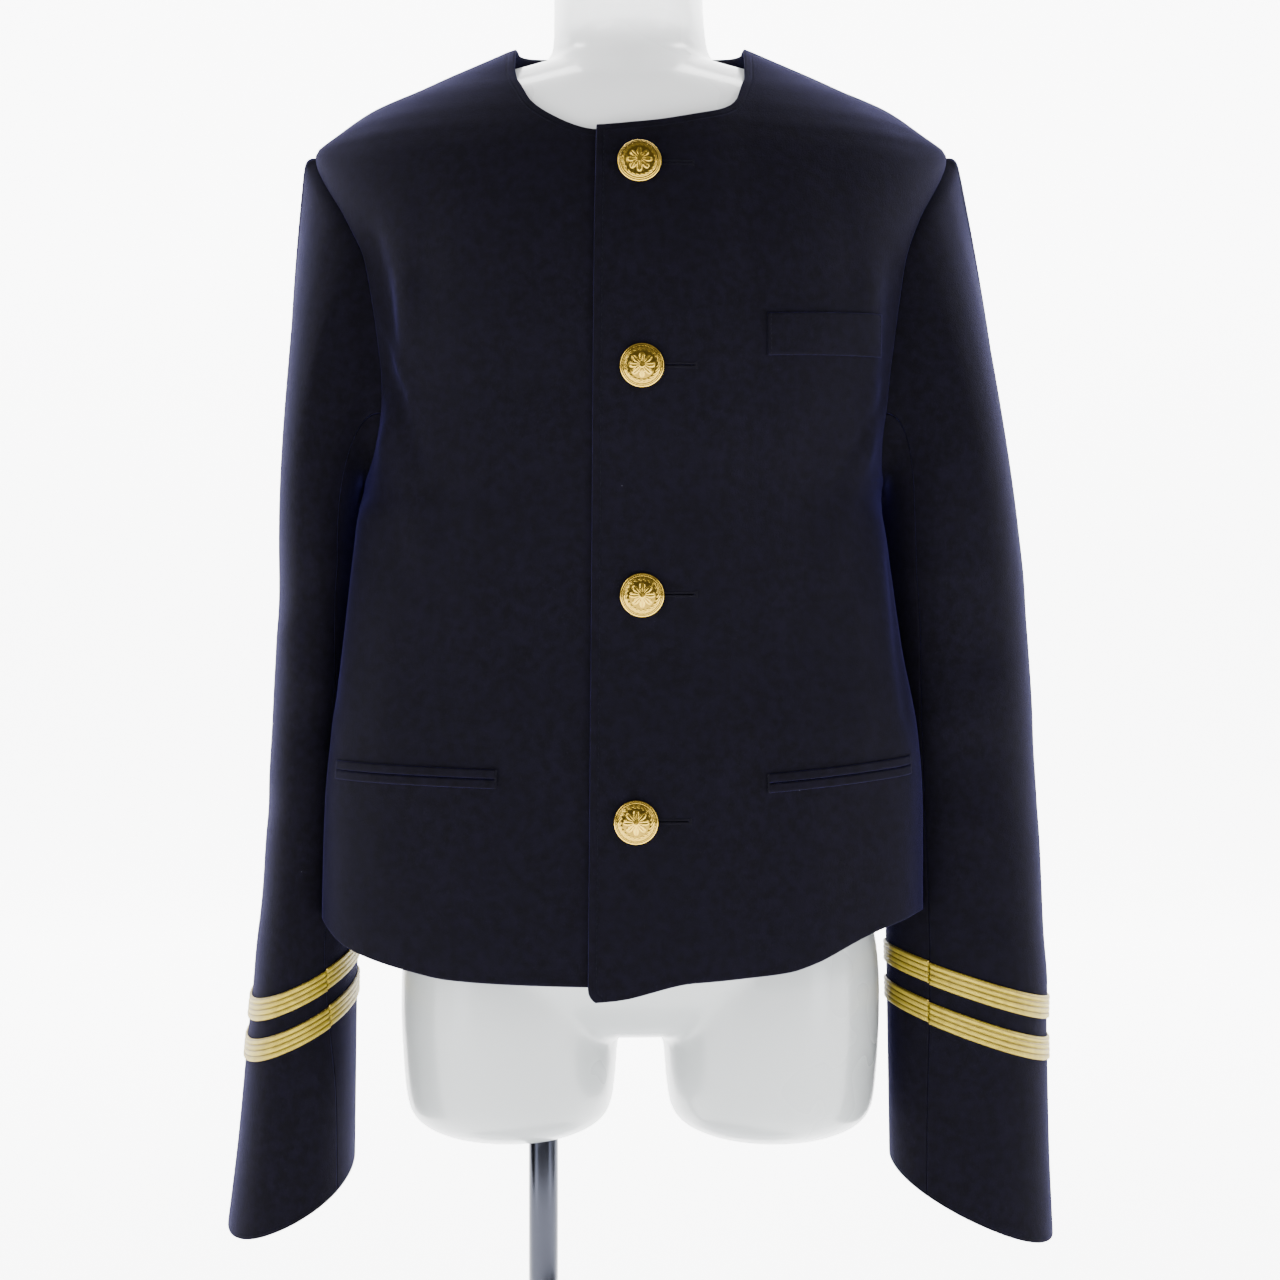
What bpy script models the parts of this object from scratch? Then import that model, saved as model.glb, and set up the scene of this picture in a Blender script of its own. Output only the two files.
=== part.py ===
"""A cropped collarless captain jacket, buttoned on a limbless dress form with a pole stand.

Metres, +Z up. The jacket's front faces -Y and the wearer's left side is +X. The origin is
on the floor under the stand. Every panel is a wall of cloth over one body surface, which
is read from a short table of level sections, and the sleeves are lofted from the armholes.
"""

import math

import bmesh
import bpy
import numpy as np
from mathutils import Matrix, Vector

# Cloth, seams and trims
CLOTH = 0.0022
SEAM_GAP = 0.0003
LAP_GAP = 0.0007
LAP_LIFT = CLOTH + LAP_GAP
TRIM_GAP = 0.0008
TRIM_THICK = 0.0016
BRAID_WIDTH = 0.0125
BRAID_HEIGHTS = (("low", 0.0945), ("high", 0.1165))
BRAID_THICK = 0.0015
BRAID_JOG = 0.0018

# Fronts
OVER_EDGE_TOP = -0.0180
OVER_EDGE_HEM = -0.0216
OVER_CORNER = 0.0085
UNDER_EDGE = 0.0385
LAP_EASE_START = 0.040
LAP_EASE = 0.030
FRONT_HEM = 0.2665
SIDE_HEM = 0.3000
BACK_HEM = 0.2940
FRONT_NECK = 0.7274
NECK_POINT = 0.793
BACK_NECK = 0.806
SHOULDER_TIP = 0.732
UNDERARM = 0.535
SIDE_SEAM = 90.0

# Where the armhole and the shoulder seam start along a panel's outer edge, as shares of it
ARMHOLE_SHARE = 0.42
SHOULDER_SHARE = 0.79
BACK_NECK_SHARE = 0.86

# How far a front's rows sag below its flat neckline, and where across it they sag most
NECK_SAG = 0.018
SAG_PLACE = 0.30

# Steps down each half of the armhole and round the two sleeve pieces, which meet point to point
ARMHOLE_STEPS = 10
NECK_STEPS = 7
FRONT_COLUMNS = 18
BACK_COLUMNS = 12
TOP_STEPS = 13
UNDER_STEPS = 7

# Buttons and buttonholes
BUTTON_RADIUS = 0.0118
BUTTON_EDGE = 0.0016
BUTTON_DOME = 0.0044
BUTTON_CLEAR = 0.0006
SHANK_RADIUS = 0.0013
BUTTON_SEGMENTS = 18
BUTTON_PLACES = ((0.0054, 0.7046), (0.0068, 0.5948), (0.0068, 0.4737), (0.0037, 0.3536))
BUTTON_DROOPS = (11.0, 0.0, 0.0, 0.0)
HOLE_HALF_HEIGHT = 0.0017
HOLE_START = -0.0022
HOLE_END = 0.0285

# Dress form and stand
FORM_TOP = 0.850
SHOULDER_ROUND_FROM = 0.118
SHOULDER_ROUND = 0.030
POLE_X = -0.050
POLE_Y = -0.004
POLE_RADIUS = 0.0085
POLE_SOCKET = 0.060
STUMP_LOW = 0.1638
BASE_X = -0.010
BASE_RADIUS = 0.140
BASE_THICK = 0.012
BASE_SOCKET = 0.008

# Sideways shift that puts the middle of the whole part over the origin
MIDDLE_X = -0.0066

# Body sections, from the hem up to the top of the neck
# height, half width, front depth, back depth, sideways shift, ridge shift, squareness
BODY = np.array([
    (0.245, 0.1785, 0.1285, 0.1230, -0.0055, 0.0000, 2.35),
    (0.300, 0.1780, 0.1265, 0.1190, -0.0055, 0.0000, 2.35),
    (0.360, 0.1770, 0.1240, 0.1140, -0.0050, 0.0000, 2.35),
    (0.395, 0.1740, 0.1230, 0.1105, -0.0045, 0.0000, 2.35),
    (0.450, 0.1650, 0.1210, 0.1070, -0.0065, 0.0000, 2.35),
    (0.515, 0.1545, 0.1215, 0.1100, -0.0065, 0.0000, 2.30),
    (0.535, 0.1490, 0.1220, 0.1115, -0.0040, 0.0000, 2.30),
    (0.560, 0.1500, 0.1235, 0.1130, 0.0000, 0.0000, 2.25),
    (0.585, 0.1530, 0.1245, 0.1145, 0.0030, 0.0010, 2.20),
    (0.615, 0.1575, 0.1250, 0.1145, 0.0035, 0.0020, 2.15),
    (0.650, 0.1640, 0.1230, 0.1120, 0.0030, 0.0040, 2.10),
    (0.680, 0.1710, 0.1185, 0.1080, 0.0020, 0.0060, 2.05),
    (0.712, 0.1800, 0.1105, 0.0990, 0.0010, 0.0090, 1.95),
    (0.732, 0.1840, 0.1035, 0.0910, 0.0005, 0.0110, 1.85),
    (0.741, 0.1735, 0.0980, 0.0865, 0.0000, 0.0120, 1.80),
    (0.750, 0.1620, 0.0915, 0.0820, 0.0000, 0.0120, 1.75),
    (0.758, 0.1500, 0.0850, 0.0775, 0.0000, 0.0120, 1.70),
    (0.766, 0.1310, 0.0780, 0.0730, 0.0000, 0.0120, 1.65),
    (0.777, 0.1065, 0.0700, 0.0680, 0.0000, 0.0120, 1.65),
    (0.787, 0.0810, 0.0640, 0.0640, 0.0000, 0.0115, 1.75),
    (0.793, 0.0655, 0.0610, 0.0620, 0.0000, 0.0110, 1.85),
    (0.800, 0.0620, 0.0595, 0.0605, 0.0000, 0.0095, 1.95),
    (0.807, 0.0575, 0.0580, 0.0585, -0.0005, 0.0080, 2.00),
    (0.821, 0.0535, 0.0570, 0.0570, -0.0010, 0.0040, 2.00),
    (0.850, 0.0520, 0.0560, 0.0560, -0.0010, -0.0040, 2.00),
])

# Soft folds of the body cloth, ridges out and troughs in
# side, upper angle, upper height, lower angle, lower height, reach across, depth
BODY_FOLDS = np.array([
    (-1, 60.0, 0.668, 57.0, 0.590, 0.014, -0.0040),
    (-1, 50.0, 0.640, 62.0, 0.560, 0.013, 0.0030),
    (1, 60.0, 0.655, 60.0, 0.600, 0.014, -0.0012),
    (1, 52.0, 0.640, 60.0, 0.555, 0.014, 0.0020),
    (-1, 122.0, 0.660, 118.0, 0.560, 0.016, -0.0035),
    (1, 122.0, 0.660, 119.0, 0.550, 0.016, -0.0035),
    (-1, 148.0, 0.560, 140.0, 0.300, 0.022, -0.0030),
    (1, 150.0, 0.540, 143.0, 0.300, 0.022, -0.0030),
    (-1, 62.0, 0.520, 52.0, 0.300, 0.024, 0.0025),
    (1, 64.0, 0.510, 55.0, 0.300, 0.024, 0.0025),
])

# Hem height on the under front and the over front, from the centre to the side: angle, height
HEM_FRONT = {
    -1: np.array([
        (0.0, FRONT_HEM),
        (14.0, 0.2673),
        (27.0, 0.2688),
        (36.0, 0.2724),
        (46.0, 0.2772),
        (56.0, 0.2838),
        (63.0, 0.2905),
        (68.0, 0.2955),
        (76.0, 0.2990),
        (90.0, SIDE_HEM),
    ]),
    1: np.array([
        (0.0, FRONT_HEM),
        (8.0, 0.2684),
        (17.5, 0.2704),
        (27.0, 0.2728),
        (33.0, 0.2772),
        (38.5, 0.2828),
        (45.5, 0.2893),
        (51.0, 0.2932),
        (58.0, 0.2960),
        (68.0, 0.2985),
        (90.0, SIDE_HEM),
    ]),
}

# Hem height on each half of the back, from the side to the centre: angle, height
HEM_BACK = np.array([
    (90.0, SIDE_HEM),
    (115.0, 0.3000),
    (150.0, 0.2955),
    (180.0, BACK_HEM),
])
OVER_HEM_DROP = 0.0090
OVER_HEM_FROM = -5.0
OVER_HEM_REACH = 15.0
UNDER_HEM_TUCK = 0.0042
UNDER_HEM_REACH = 8.5

# Front necklines: across, height
OVER_NECK = np.array([
    (OVER_EDGE_TOP, FRONT_NECK),
    (0.0027, 0.7293),
    (0.0187, 0.7313),
    (0.0360, 0.7347),
    (0.0470, 0.7374),
    (0.0552, 0.7422),
    (0.0615, 0.7525),
    (0.0640, 0.7645),
    (0.0648, 0.7750),
    (0.0655, NECK_POINT),
])
UNDER_NECK = np.array([
    (-UNDER_EDGE, FRONT_NECK),
    (0.0050, 0.7263),
    (0.0180, 0.7267),
    (0.0218, 0.7273),
    (0.0330, 0.7310),
    (0.0468, 0.7392),
    (0.0565, 0.7495),
    (0.0625, 0.7633),
    (0.0650, 0.7740),
    (0.0655, NECK_POINT),
])

# Armhole, from the shoulder tip down to the underarm: angle, height
ARMHOLE_FRONT = np.array([
    (90.0, 0.732),
    (76.0, 0.7055),
    (70.0, 0.689),
    (65.8, 0.660),
    (65.8, 0.630),
    (66.0, 0.600),
    (67.5, 0.573),
    (74.0, 0.547),
    (90.0, 0.535),
])
ARMHOLE_BACK = np.array([
    (90.0, 0.732),
    (100.0, 0.716),
    (106.0, 0.690),
    (110.0, 0.655),
    (111.0, 0.620),
    (110.5, 0.590),
    (108.0, 0.563),
    (102.0, 0.545),
    (90.0, 0.535),
])

# Sleeve sections below the armpit, for the wearer's right and left
# height, outer side, inner side, front, back, rise to the body, dip to the front, front seam angle
SLEEVES = {
    -1: np.array([
        (0.5150, 0.2020, 0.1525, -0.0690, 0.0850, 0.00, 0.00, 126.0),
        (0.4730, 0.2035, 0.1535, -0.0660, 0.0840, 0.00, 0.00, 125.0),
        (0.4150, 0.2065, 0.1545, -0.0590, 0.0820, 0.00, 0.00, 124.0),
        (0.3570, 0.2095, 0.1560, -0.0570, 0.0750, 0.15, 0.00, 124.0),
        (0.2990, 0.2130, 0.1580, -0.0580, 0.0660, 0.36, 0.05, 124.0),
        (0.2700, 0.2165, 0.1588, -0.0590, 0.0620, 0.44, 0.12, 125.0),
        (0.2410, 0.2195, 0.1588, -0.0600, 0.0570, 0.45, 0.13, 130.0),
        (0.1830, 0.2245, 0.1588, -0.0630, 0.0500, 0.43, 0.16, 143.0),
        (0.1345, 0.2300, 0.1588, -0.0650, 0.0435, 0.40, 0.22, 146.0),
    ]),
    1: np.array([
        (0.5150, 0.2245, 0.1435, -0.0620, 0.0760, 0.00, 0.00, 126.0),
        (0.4730, 0.2295, 0.1440, -0.0580, 0.0730, 0.00, 0.00, 125.0),
        (0.4150, 0.2335, 0.1450, -0.0520, 0.0680, 0.00, 0.00, 124.0),
        (0.3570, 0.2365, 0.1462, -0.0500, 0.0600, 0.12, 0.00, 123.0),
        (0.2990, 0.2385, 0.1475, -0.0520, 0.0500, 0.26, 0.00, 122.5),
        (0.2700, 0.2395, 0.1482, -0.0530, 0.0470, 0.31, 0.00, 122.5),
        (0.2410, 0.2400, 0.1485, -0.0530, 0.0440, 0.34, 0.02, 123.0),
        (0.1830, 0.2408, 0.1490, -0.0540, 0.0380, 0.40, 0.10, 126.0),
        (0.1322, 0.2428, 0.1495, -0.0550, 0.0350, 0.44, 0.20, 128.0),
    ]),
}
SLEEVE_SQUARE = 2.15
HIND_SEAM = 252.0
SEAM_TURN = 0.22
CAP_SHARE = 0.34
SLEEVE_CLEAR = 0.0012
PRESS_SOFT = 0.0030
PRESS_TOP = 0.520

# How a sleeve leaves its armhole: angle round it, into the hole, out of the body, length
CAP_START = np.array([
    (0.0, 0.62, 0.80, 0.040),
    (60.0, 0.50, 0.86, 0.045),
    (120.0, 0.35, 0.93, 0.045),
    (165.0, -0.10, 0.98, 0.016),
    (180.0, -0.25, 0.95, 0.010),
    (195.0, -0.10, 0.98, 0.016),
    (240.0, 0.35, 0.93, 0.045),
    (300.0, 0.50, 0.86, 0.045),
    (360.0, 0.62, 0.80, 0.040),
])

# Soft folds of the sleeves: side, angle, height, reach along, reach round, depth
SLEEVE_FOLDS = np.array([
    (-1, 70.0, 0.470, 0.030, 50.0, -0.0030),
    (-1, 95.0, 0.400, 0.020, 45.0, -0.0035),
    (-1, 300.0, 0.430, 0.030, 50.0, -0.0030),
    (1, 80.0, 0.450, 0.030, 50.0, -0.0035),
    (1, 60.0, 0.385, 0.022, 45.0, -0.0030),
    (1, 290.0, 0.420, 0.030, 50.0, -0.0030),
])

# Space between the cloth and the form, and the form's lean to one side: height, gap, shift
FIT = np.array([
    (0.250, 0.0300, 0.0040),
    (0.300, 0.0300, 0.0040),
    (0.360, 0.0270, 0.0030),
    (0.450, 0.0260, 0.0030),
    (0.535, 0.0170, 0.0020),
    (0.600, 0.0090, 0.0000),
    (0.660, 0.0050, 0.0000),
    (0.700, 0.0034, 0.0000),
    (0.730, 0.0024, 0.0000),
    (0.750, 0.0014, 0.0000),
    (0.766, 0.0009, 0.0000),
    (0.777, 0.0036, 0.0000),
    (0.787, 0.0085, 0.0000),
    (0.793, 0.0130, 0.0000),
    (0.800, 0.0163, 0.0000),
    (0.807, 0.0122, 0.0000),
    (0.821, 0.0080, 0.0000),
    (0.850, 0.0062, 0.0000),
])

# The torso's underside, from its middle out: height, share of the width, share of the depth
FORM_FLOOR = (
    (0.2245, 0.20, 0.34),
    (0.2275, 0.34, 0.50),
    (0.2400, 0.62, 0.66),
    (0.2620, 0.88, 0.80),
    (0.2850, 0.98, 0.90),
)

# The two short thighs, from inside the hips down to the rounded end: height, half width
STUMPS = np.array([
    (0.330, 0.0500),
    (0.300, 0.0570),
    (0.260, 0.0625),
    (0.239, 0.0628),
    (0.212, 0.0616),
    (0.190, 0.0596),
    (0.1815, 0.0577),
    (0.177, 0.0550),
    (0.173, 0.0508),
    (0.1690, 0.0432),
    (0.1660, 0.0340),
    (0.1646, 0.0240),
    (STUMP_LOW, 0.0110),
])
STUMP_CENTRES = (-0.0691, 0.0812)
STUMP_DEEPER = 1.12

# Hip pockets and the breast welt: side, inner across, outer angle, inner height, outer height
HIP_SLITS = {
    -1: (0.0705, 59.0, 0.3760, 0.3788),
    1: (0.0740, 61.5, 0.3737, 0.3813),
}
JET_WIDTH = 0.0048
JET_PARTING = 0.0006
WELT_SPAN = (0.0735, 0.1375)
WELT_LOW = (0.6018, 0.6056)
WELT_HIGH = (0.6246, 0.6292)

# Colours: base colour, metallic, roughness
COLOURS = {
    "navy_wool": ((0.010, 0.010, 0.020), 0.0, 0.95),
    "gold_braid": ((0.60, 0.44, 0.12), 0.5, 0.45),
    "gold_metal": ((0.85, 0.60, 0.20), 1.0, 0.22),
    "white_gloss": ((0.80, 0.81, 0.83), 0.0, 0.25),
    "chrome": ((0.62, 0.63, 0.65), 1.0, 0.12),
    "stand_steel": ((0.55, 0.56, 0.58), 1.0, 0.30),
}


def through(knots, values, at):
    """A smooth curve through the knots that never overshoots them."""
    at = np.clip(at, knots[0], knots[-1])
    step = np.diff(knots)[:, None]
    rise = np.diff(values, axis=0) / step
    same = rise[:-1] * rise[1:] > 0
    total = np.where(same, rise[:-1] + rise[1:], 1.0)
    slope = np.zeros(values.shape)
    slope[1:-1] = np.where(same, 2 * rise[:-1] * rise[1:] / total, 0.0)
    slope[0] = rise[0]
    slope[-1] = rise[-1]
    i = np.clip(np.searchsorted(knots, at, side="right") - 1, 0, len(step) - 1)
    width = step[i]
    t = (at - knots[i])[:, None] / width
    start = (2 * t**3 - 3 * t**2 + 1) * values[i]
    end = (3 * t**2 - 2 * t**3) * values[i + 1]
    leave = (t**3 - 2 * t**2 + t) * width * slope[i]
    arrive = (t**3 - t**2) * width * slope[i + 1]
    return start + end + leave + arrive


def read(table, at):
    """The table's other columns at each value of its first column."""
    order = np.argsort(table[:, 0])
    rows = table[order]
    return through(rows[:, 0], rows[:, 1:], np.asarray(at, float).ravel()).T


def along(points, share):
    """Points at a share of the way along a smooth path through the given points."""
    scale = np.array([0.0026, 1.0]) if points[:, 0].max() > 1 else np.array([1.0, 1.0])
    steps = np.linalg.norm(np.diff(points * scale, axis=0), axis=1)
    travelled = np.concatenate([[0.0], np.cumsum(steps)])
    return through(travelled / travelled[-1], points, np.asarray(share, float).ravel()).T


def ease(t):
    t = np.clip(t, 0.0, 1.0)
    return t * t * (3 - 2 * t)


def blend(a, b, t):
    return a + (b - a) * t


def power(value, exponent):
    return np.sign(value) * np.abs(value) ** exponent


def plain_body(angle, height):
    """The body surface without folds; angle 0 is the centre front, 90 the wearer's left."""
    half, front, back, shift, ridge, square = read(BODY, height)
    c = np.cos(np.radians(angle))
    s = np.sin(np.radians(angle))
    depth = np.where(c > 0, front, back)
    x = shift + half * power(s, 2 / square)
    y = ridge - depth * power(c, 2 / square)
    return np.stack([x, y, height + 0 * x], axis=1)


def fold_push(angle, height):
    """How far the folds lift the cloth off the plain body at a place."""
    push = np.zeros(len(angle))
    metres = math.radians(1) * 0.150
    turned = (angle + 180.0) % 360.0 - 180.0
    for side, a0, h0, a1, h1, reach, depth in BODY_FOLDS:
        x = turned * side
        p = np.stack([x * metres, height], axis=1)
        start = np.array([a0 * metres, h0])
        run = np.array([a1 * metres, h1]) - start
        t = np.clip((p - start) @ run / (run @ run), 0, 1)
        away = np.linalg.norm(p - start - t[:, None] * run, axis=1)
        push += depth * np.exp(-((away / reach) ** 2))
    return push


def sleeve_inner_side(side, height, y):
    """How far across the inner side of a hanging sleeve is, at a height and depth."""
    outer, inner, front, back = read(SLEEVES[side], height)[:4]
    along_depth = (y - (front + back) / 2) / ((back - front) / 2)
    bulge = np.sqrt(np.clip(1 - along_depth**2, 0, 1))
    return (outer + inner) / 2 - (outer - inner) / 2 * bulge


def body(angle, height):
    """The outer face of the body cloth, with its folds and pressed in beside the sleeves."""
    angle = np.asarray(angle, float).ravel()
    height = np.asarray(height, float).ravel()
    p = plain_body(angle, height)
    out = p[:, :2] - np.stack([0 * height, read(BODY, height)[4]], axis=1)
    out /= np.maximum(np.linalg.norm(out, axis=1), 1e-9)[:, None]
    p[:, :2] += out * fold_push(angle, height)[:, None]
    for side in (-1, 1):
        limit = sleeve_inner_side(side, height, p[:, 1]) - SLEEVE_CLEAR - PRESS_SOFT * 0.7
        limit += np.clip(height - PRESS_TOP, 0, None)
        x = p[:, 0] * side
        soft = np.minimum(x, limit) - PRESS_SOFT * np.log1p(np.exp(-abs(x - limit) / PRESS_SOFT))
        p[:, 0] = np.where(x > 0.08, blend(x, soft, ease((x - 0.08) / 0.04)) * side, p[:, 0])
    return p


def facing(surface, a, b, step_a, step_b):
    """Unit vectors square to a surface of two parameters."""
    along_a = surface(a + step_a, b) - surface(a - step_a, b)
    along_b = surface(a, b + step_b) - surface(a, b - step_b)
    n = np.cross(along_a, along_b)
    return n / np.linalg.norm(n, axis=1)[:, None]


def body_facing(angle, height):
    return facing(body, angle, height, 2.5, 0.003)


def angle_at(across, height):
    """The angle on the front of the body at a distance across, at each height."""
    half, _, _, shift, _, square = read(BODY, height)
    x = np.asarray(across, float) - shift
    return np.degrees(np.arcsin(power(np.clip(x / half, -1, 1), square / 2)))


def seam_turn(height, column):
    """The small angle that keeps half a seam gap from the side and shoulder seams."""
    rows = read(BODY, height)
    return np.degrees((SEAM_GAP * 0.6 / rows[column]) ** (rows[5] / 2))


def lap_lift(angle, height):
    """How far the over front stands off the body where it laps the under front."""
    x = body(angle, height)[:, 0]
    return LAP_LIFT * (1 - ease((x - LAP_EASE_START) / LAP_EASE))


def over_edge(height):
    """The over front's free edge, with its rounded lower corner."""
    share = (height - FRONT_HEM) / (FRONT_NECK - FRONT_HEM)
    straight = blend(OVER_EDGE_HEM, OVER_EDGE_TOP, share)
    lowest = FRONT_HEM - OVER_HEM_DROP
    rise = np.clip((height - lowest) / OVER_CORNER, 0, 1)
    return straight + OVER_CORNER * (1 - np.sqrt(1 - (1 - rise) ** 2))


def hem_height(side, angle):
    height = read(HEM_FRONT[side], np.abs(angle))[0]
    if side > 0:
        from_edge = np.abs(angle - OVER_HEM_FROM)
        height = height - OVER_HEM_DROP * (1 - ease(from_edge / OVER_HEM_REACH))
    else:
        height = height + UNDER_HEM_TUCK * ease(angle / UNDER_HEM_REACH)
    return height


def outer_edge(v, armhole, turn_sign, column):
    """Angle and height up the side seam, the armhole and the shoulder seam."""
    side_height = blend(SIDE_HEM, UNDERARM, np.clip(v / ARMHOLE_SHARE, 0, 1))
    hole = (v - ARMHOLE_SHARE) / (SHOULDER_SHARE - ARMHOLE_SHARE)
    hole_angle, hole_height = along(armhole[::-1], np.clip(hole, 0, 1))
    top = (v - SHOULDER_SHARE) / (1 - SHOULDER_SHARE)
    top_height = blend(SHOULDER_TIP, NECK_POINT, np.clip(top, 0, 1))
    height = np.where(v < ARMHOLE_SHARE, side_height, np.where(v < SHOULDER_SHARE, hole_height, top_height))
    on_hole = (v >= ARMHOLE_SHARE) & (v < SHOULDER_SHARE)
    angle = np.where(on_hole, hole_angle, SIDE_SEAM)
    turn = seam_turn(height, column)
    if turn_sign < 0:
        return np.minimum(angle, SIDE_SEAM - turn), height
    return np.maximum(angle, SIDE_SEAM + turn), height


def front_cut(side, u, v):
    """Angle and height on a front; u runs from its free edge to the side, v from hem to neck."""
    lower = np.clip(v / ARMHOLE_SHARE, 0, 1)
    upper = np.clip((v - ARMHOLE_SHARE) / (SHOULDER_SHARE - ARMHOLE_SHARE), 0, 1)
    top = np.clip((v - SHOULDER_SHARE) / (1 - SHOULDER_SHARE), 0, 1)
    hem = hem_height(side, np.array([OVER_HEM_FROM]))[0]
    edge_height = blend(blend(hem, UNDERARM, lower), FRONT_NECK, upper)
    across = over_edge(edge_height) if side > 0 else 0 * v - UNDER_EDGE
    neck_across, neck_height = along(OVER_NECK if side > 0 else UNDER_NECK, top)
    inner_height = np.where(v > SHOULDER_SHARE, neck_height, edge_height)
    inner_across = np.where(v > SHOULDER_SHARE, neck_across, across)
    inner_angle = angle_at(inner_across * side, inner_height) * side
    inner_angle = np.minimum(inner_angle, SIDE_SEAM - seam_turn(inner_height, 1))
    outer_angle, outer_height = outer_edge(v, ARMHOLE_FRONT, -1, 1)
    angle = blend(inner_angle, outer_angle, u)
    height = blend(inner_height, outer_height, u)
    fade = (1 - lower) ** 2
    height += (hem_height(side, angle * side) - blend(hem, SIDE_HEM, u)) * fade
    dip = ease(u / SAG_PLACE) * (1 - ease((u - SAG_PLACE) / (1 - SAG_PLACE)))
    return angle * side, height - NECK_SAG * dip * ease(upper) * (1 - top)


def back_cut(side, u, v):
    """Angle and height on half the back; u runs from the centre back to the side."""
    centre = np.clip(v / BACK_NECK_SHARE, 0, 1)
    centre_height = blend(BACK_HEM, BACK_NECK, centre)
    neck_share = np.clip((v - BACK_NECK_SHARE) / (1 - BACK_NECK_SHARE), 0, 1)
    neck_angle = blend(180.0, SIDE_SEAM, neck_share)
    neck_height = blend(BACK_NECK, NECK_POINT, ease(neck_share))
    on_neck = v > BACK_NECK_SHARE
    inner_angle = np.where(on_neck, neck_angle, 180.0)
    inner_height = np.where(on_neck, neck_height, centre_height)
    outer_angle, outer_height = outer_edge(v, ARMHOLE_BACK, 1, 2)
    inner_angle = np.maximum(inner_angle, SIDE_SEAM + seam_turn(inner_height, 2))
    angle = blend(inner_angle, outer_angle, u)
    height = blend(inner_height, outer_height, u)
    fade = (1 - np.clip(v / ARMHOLE_SHARE, 0, 1)) ** 2
    height += (read(HEM_BACK, angle)[0] - blend(BACK_HEM, SIDE_HEM, u)) * fade
    return angle * side, height


def body_wall(cut, lift, thick):
    """A function of u and v that gives the outer and inner points of a body piece."""
    def at(u, v):
        angle, height = cut(u, v)
        n = body_facing(angle, height)
        off = lift(angle, height)
        outer = body(angle, height) + n * off[:, None]
        return outer, outer - n * thick
    return at


def armhole_ring(side, turn):
    """The armhole's edge at each angle round it, with the ways out of the cloth and into it."""
    def place(t):
        t = t % 360.0
        front = along(ARMHOLE_FRONT, np.clip(t / 180.0, 0, 1))
        back = along(ARMHOLE_BACK, np.clip((360.0 - t) / 180.0, 0, 1))
        return np.where(t <= 180.0, front, back)
    angle, height = place(turn)
    edge = body(angle * side, height)
    out = body_facing(angle * side, height)
    before = place(turn - 2.0)
    after = place(turn + 2.0)
    run = body(after[0] * side, after[1]) - body(before[0] * side, before[1])
    run /= np.linalg.norm(run, axis=1)[:, None]
    into = side * np.cross(out, run)
    return edge, out, into / np.linalg.norm(into, axis=1)[:, None]


def sleeve_section(side, turn, height):
    outer, inner, front, back, rise, dip, _ = read(SLEEVES[side], height)
    half = (outer - inner) / 2
    deep = (back - front) / 2
    c = power(np.cos(np.radians(turn)), 2 / SLEEVE_SQUARE)
    s = power(np.sin(np.radians(turn)), 2 / SLEEVE_SQUARE)
    x = (outer + inner) / 2 + half * c
    y = (front + back) / 2 - deep * s
    z = height - rise * half * c - dip * deep * s
    push = np.zeros(len(turn))
    for fold_side, at, level, reach, spread, depth in SLEEVE_FOLDS:
        if fold_side == side:
            turn_off = (turn - at + 180.0) % 360.0 - 180.0
            push += depth * np.exp(-(((height - level) / reach) ** 2) - (turn_off / spread) ** 2)
    return np.stack([side * (x + push * c), y - push * s, z], axis=1)


def sleeve_top(side):
    return SLEEVES[side][0, 0]


def sleeve_low(side):
    return SLEEVES[side][-1, 0]


def sleeve(side, turn, v):
    """The sleeve's outer face; turn 0 is its outer side, 90 its front, and v runs down it."""
    turn = np.asarray(turn, float).ravel()
    v = np.asarray(v, float).ravel()
    edge, out, into = armhole_ring(side, turn)
    into_part, out_part, length = read(CAP_START, turn % 360.0)
    start = edge + into * SEAM_GAP
    leave = (into * into_part[:, None] + out * out_part[:, None]) * length[:, None]
    top = sleeve_top(side)
    end = sleeve_section(side, turn, 0 * v + top)
    fall = sleeve_section(side, turn, 0 * v + top - 0.010) - end
    fall /= np.linalg.norm(fall, axis=1)[:, None]
    arrive = fall * (np.linalg.norm(end - start, axis=1) * 1.15)[:, None]
    t = np.clip(v / CAP_SHARE, 0, 1)[:, None]
    cap = (2 * t**3 - 3 * t**2 + 1) * start + (3 * t**2 - 2 * t**3) * end
    cap += (t**3 - 2 * t**2 + t) * leave + (t**3 - t**2) * arrive
    below = np.clip((v - CAP_SHARE) / (1 - CAP_SHARE), 0, 1)
    tube = sleeve_section(side, turn, blend(top, sleeve_low(side), below))
    return np.where(v[:, None] < CAP_SHARE, cap, tube)


def sleeve_facing(side, turn, v):
    """Outward directions of the sleeve, which at the armhole are the body's own."""
    v = np.clip(v, 0.0, 1.0)
    n = side * facing(lambda a, b: sleeve(side, a, np.clip(b, 0, 1)), turn, v, 3.0, 0.006)
    own = armhole_ring(side, turn)[1]
    mix = (v <= 1e-6)[:, None]
    return np.where(mix, own, n)


def share_at(side, height):
    """How far down the sleeve a height is."""
    below = (sleeve_top(side) - height) / (sleeve_top(side) - sleeve_low(side))
    return CAP_SHARE + (1 - CAP_SHARE) * below


def front_seam(side, v):
    below = np.clip((v - CAP_SHARE) / (1 - CAP_SHARE), 0, 1)
    height = blend(sleeve_top(side), sleeve_low(side), below)
    return read(SLEEVES[side], height)[6]


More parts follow.
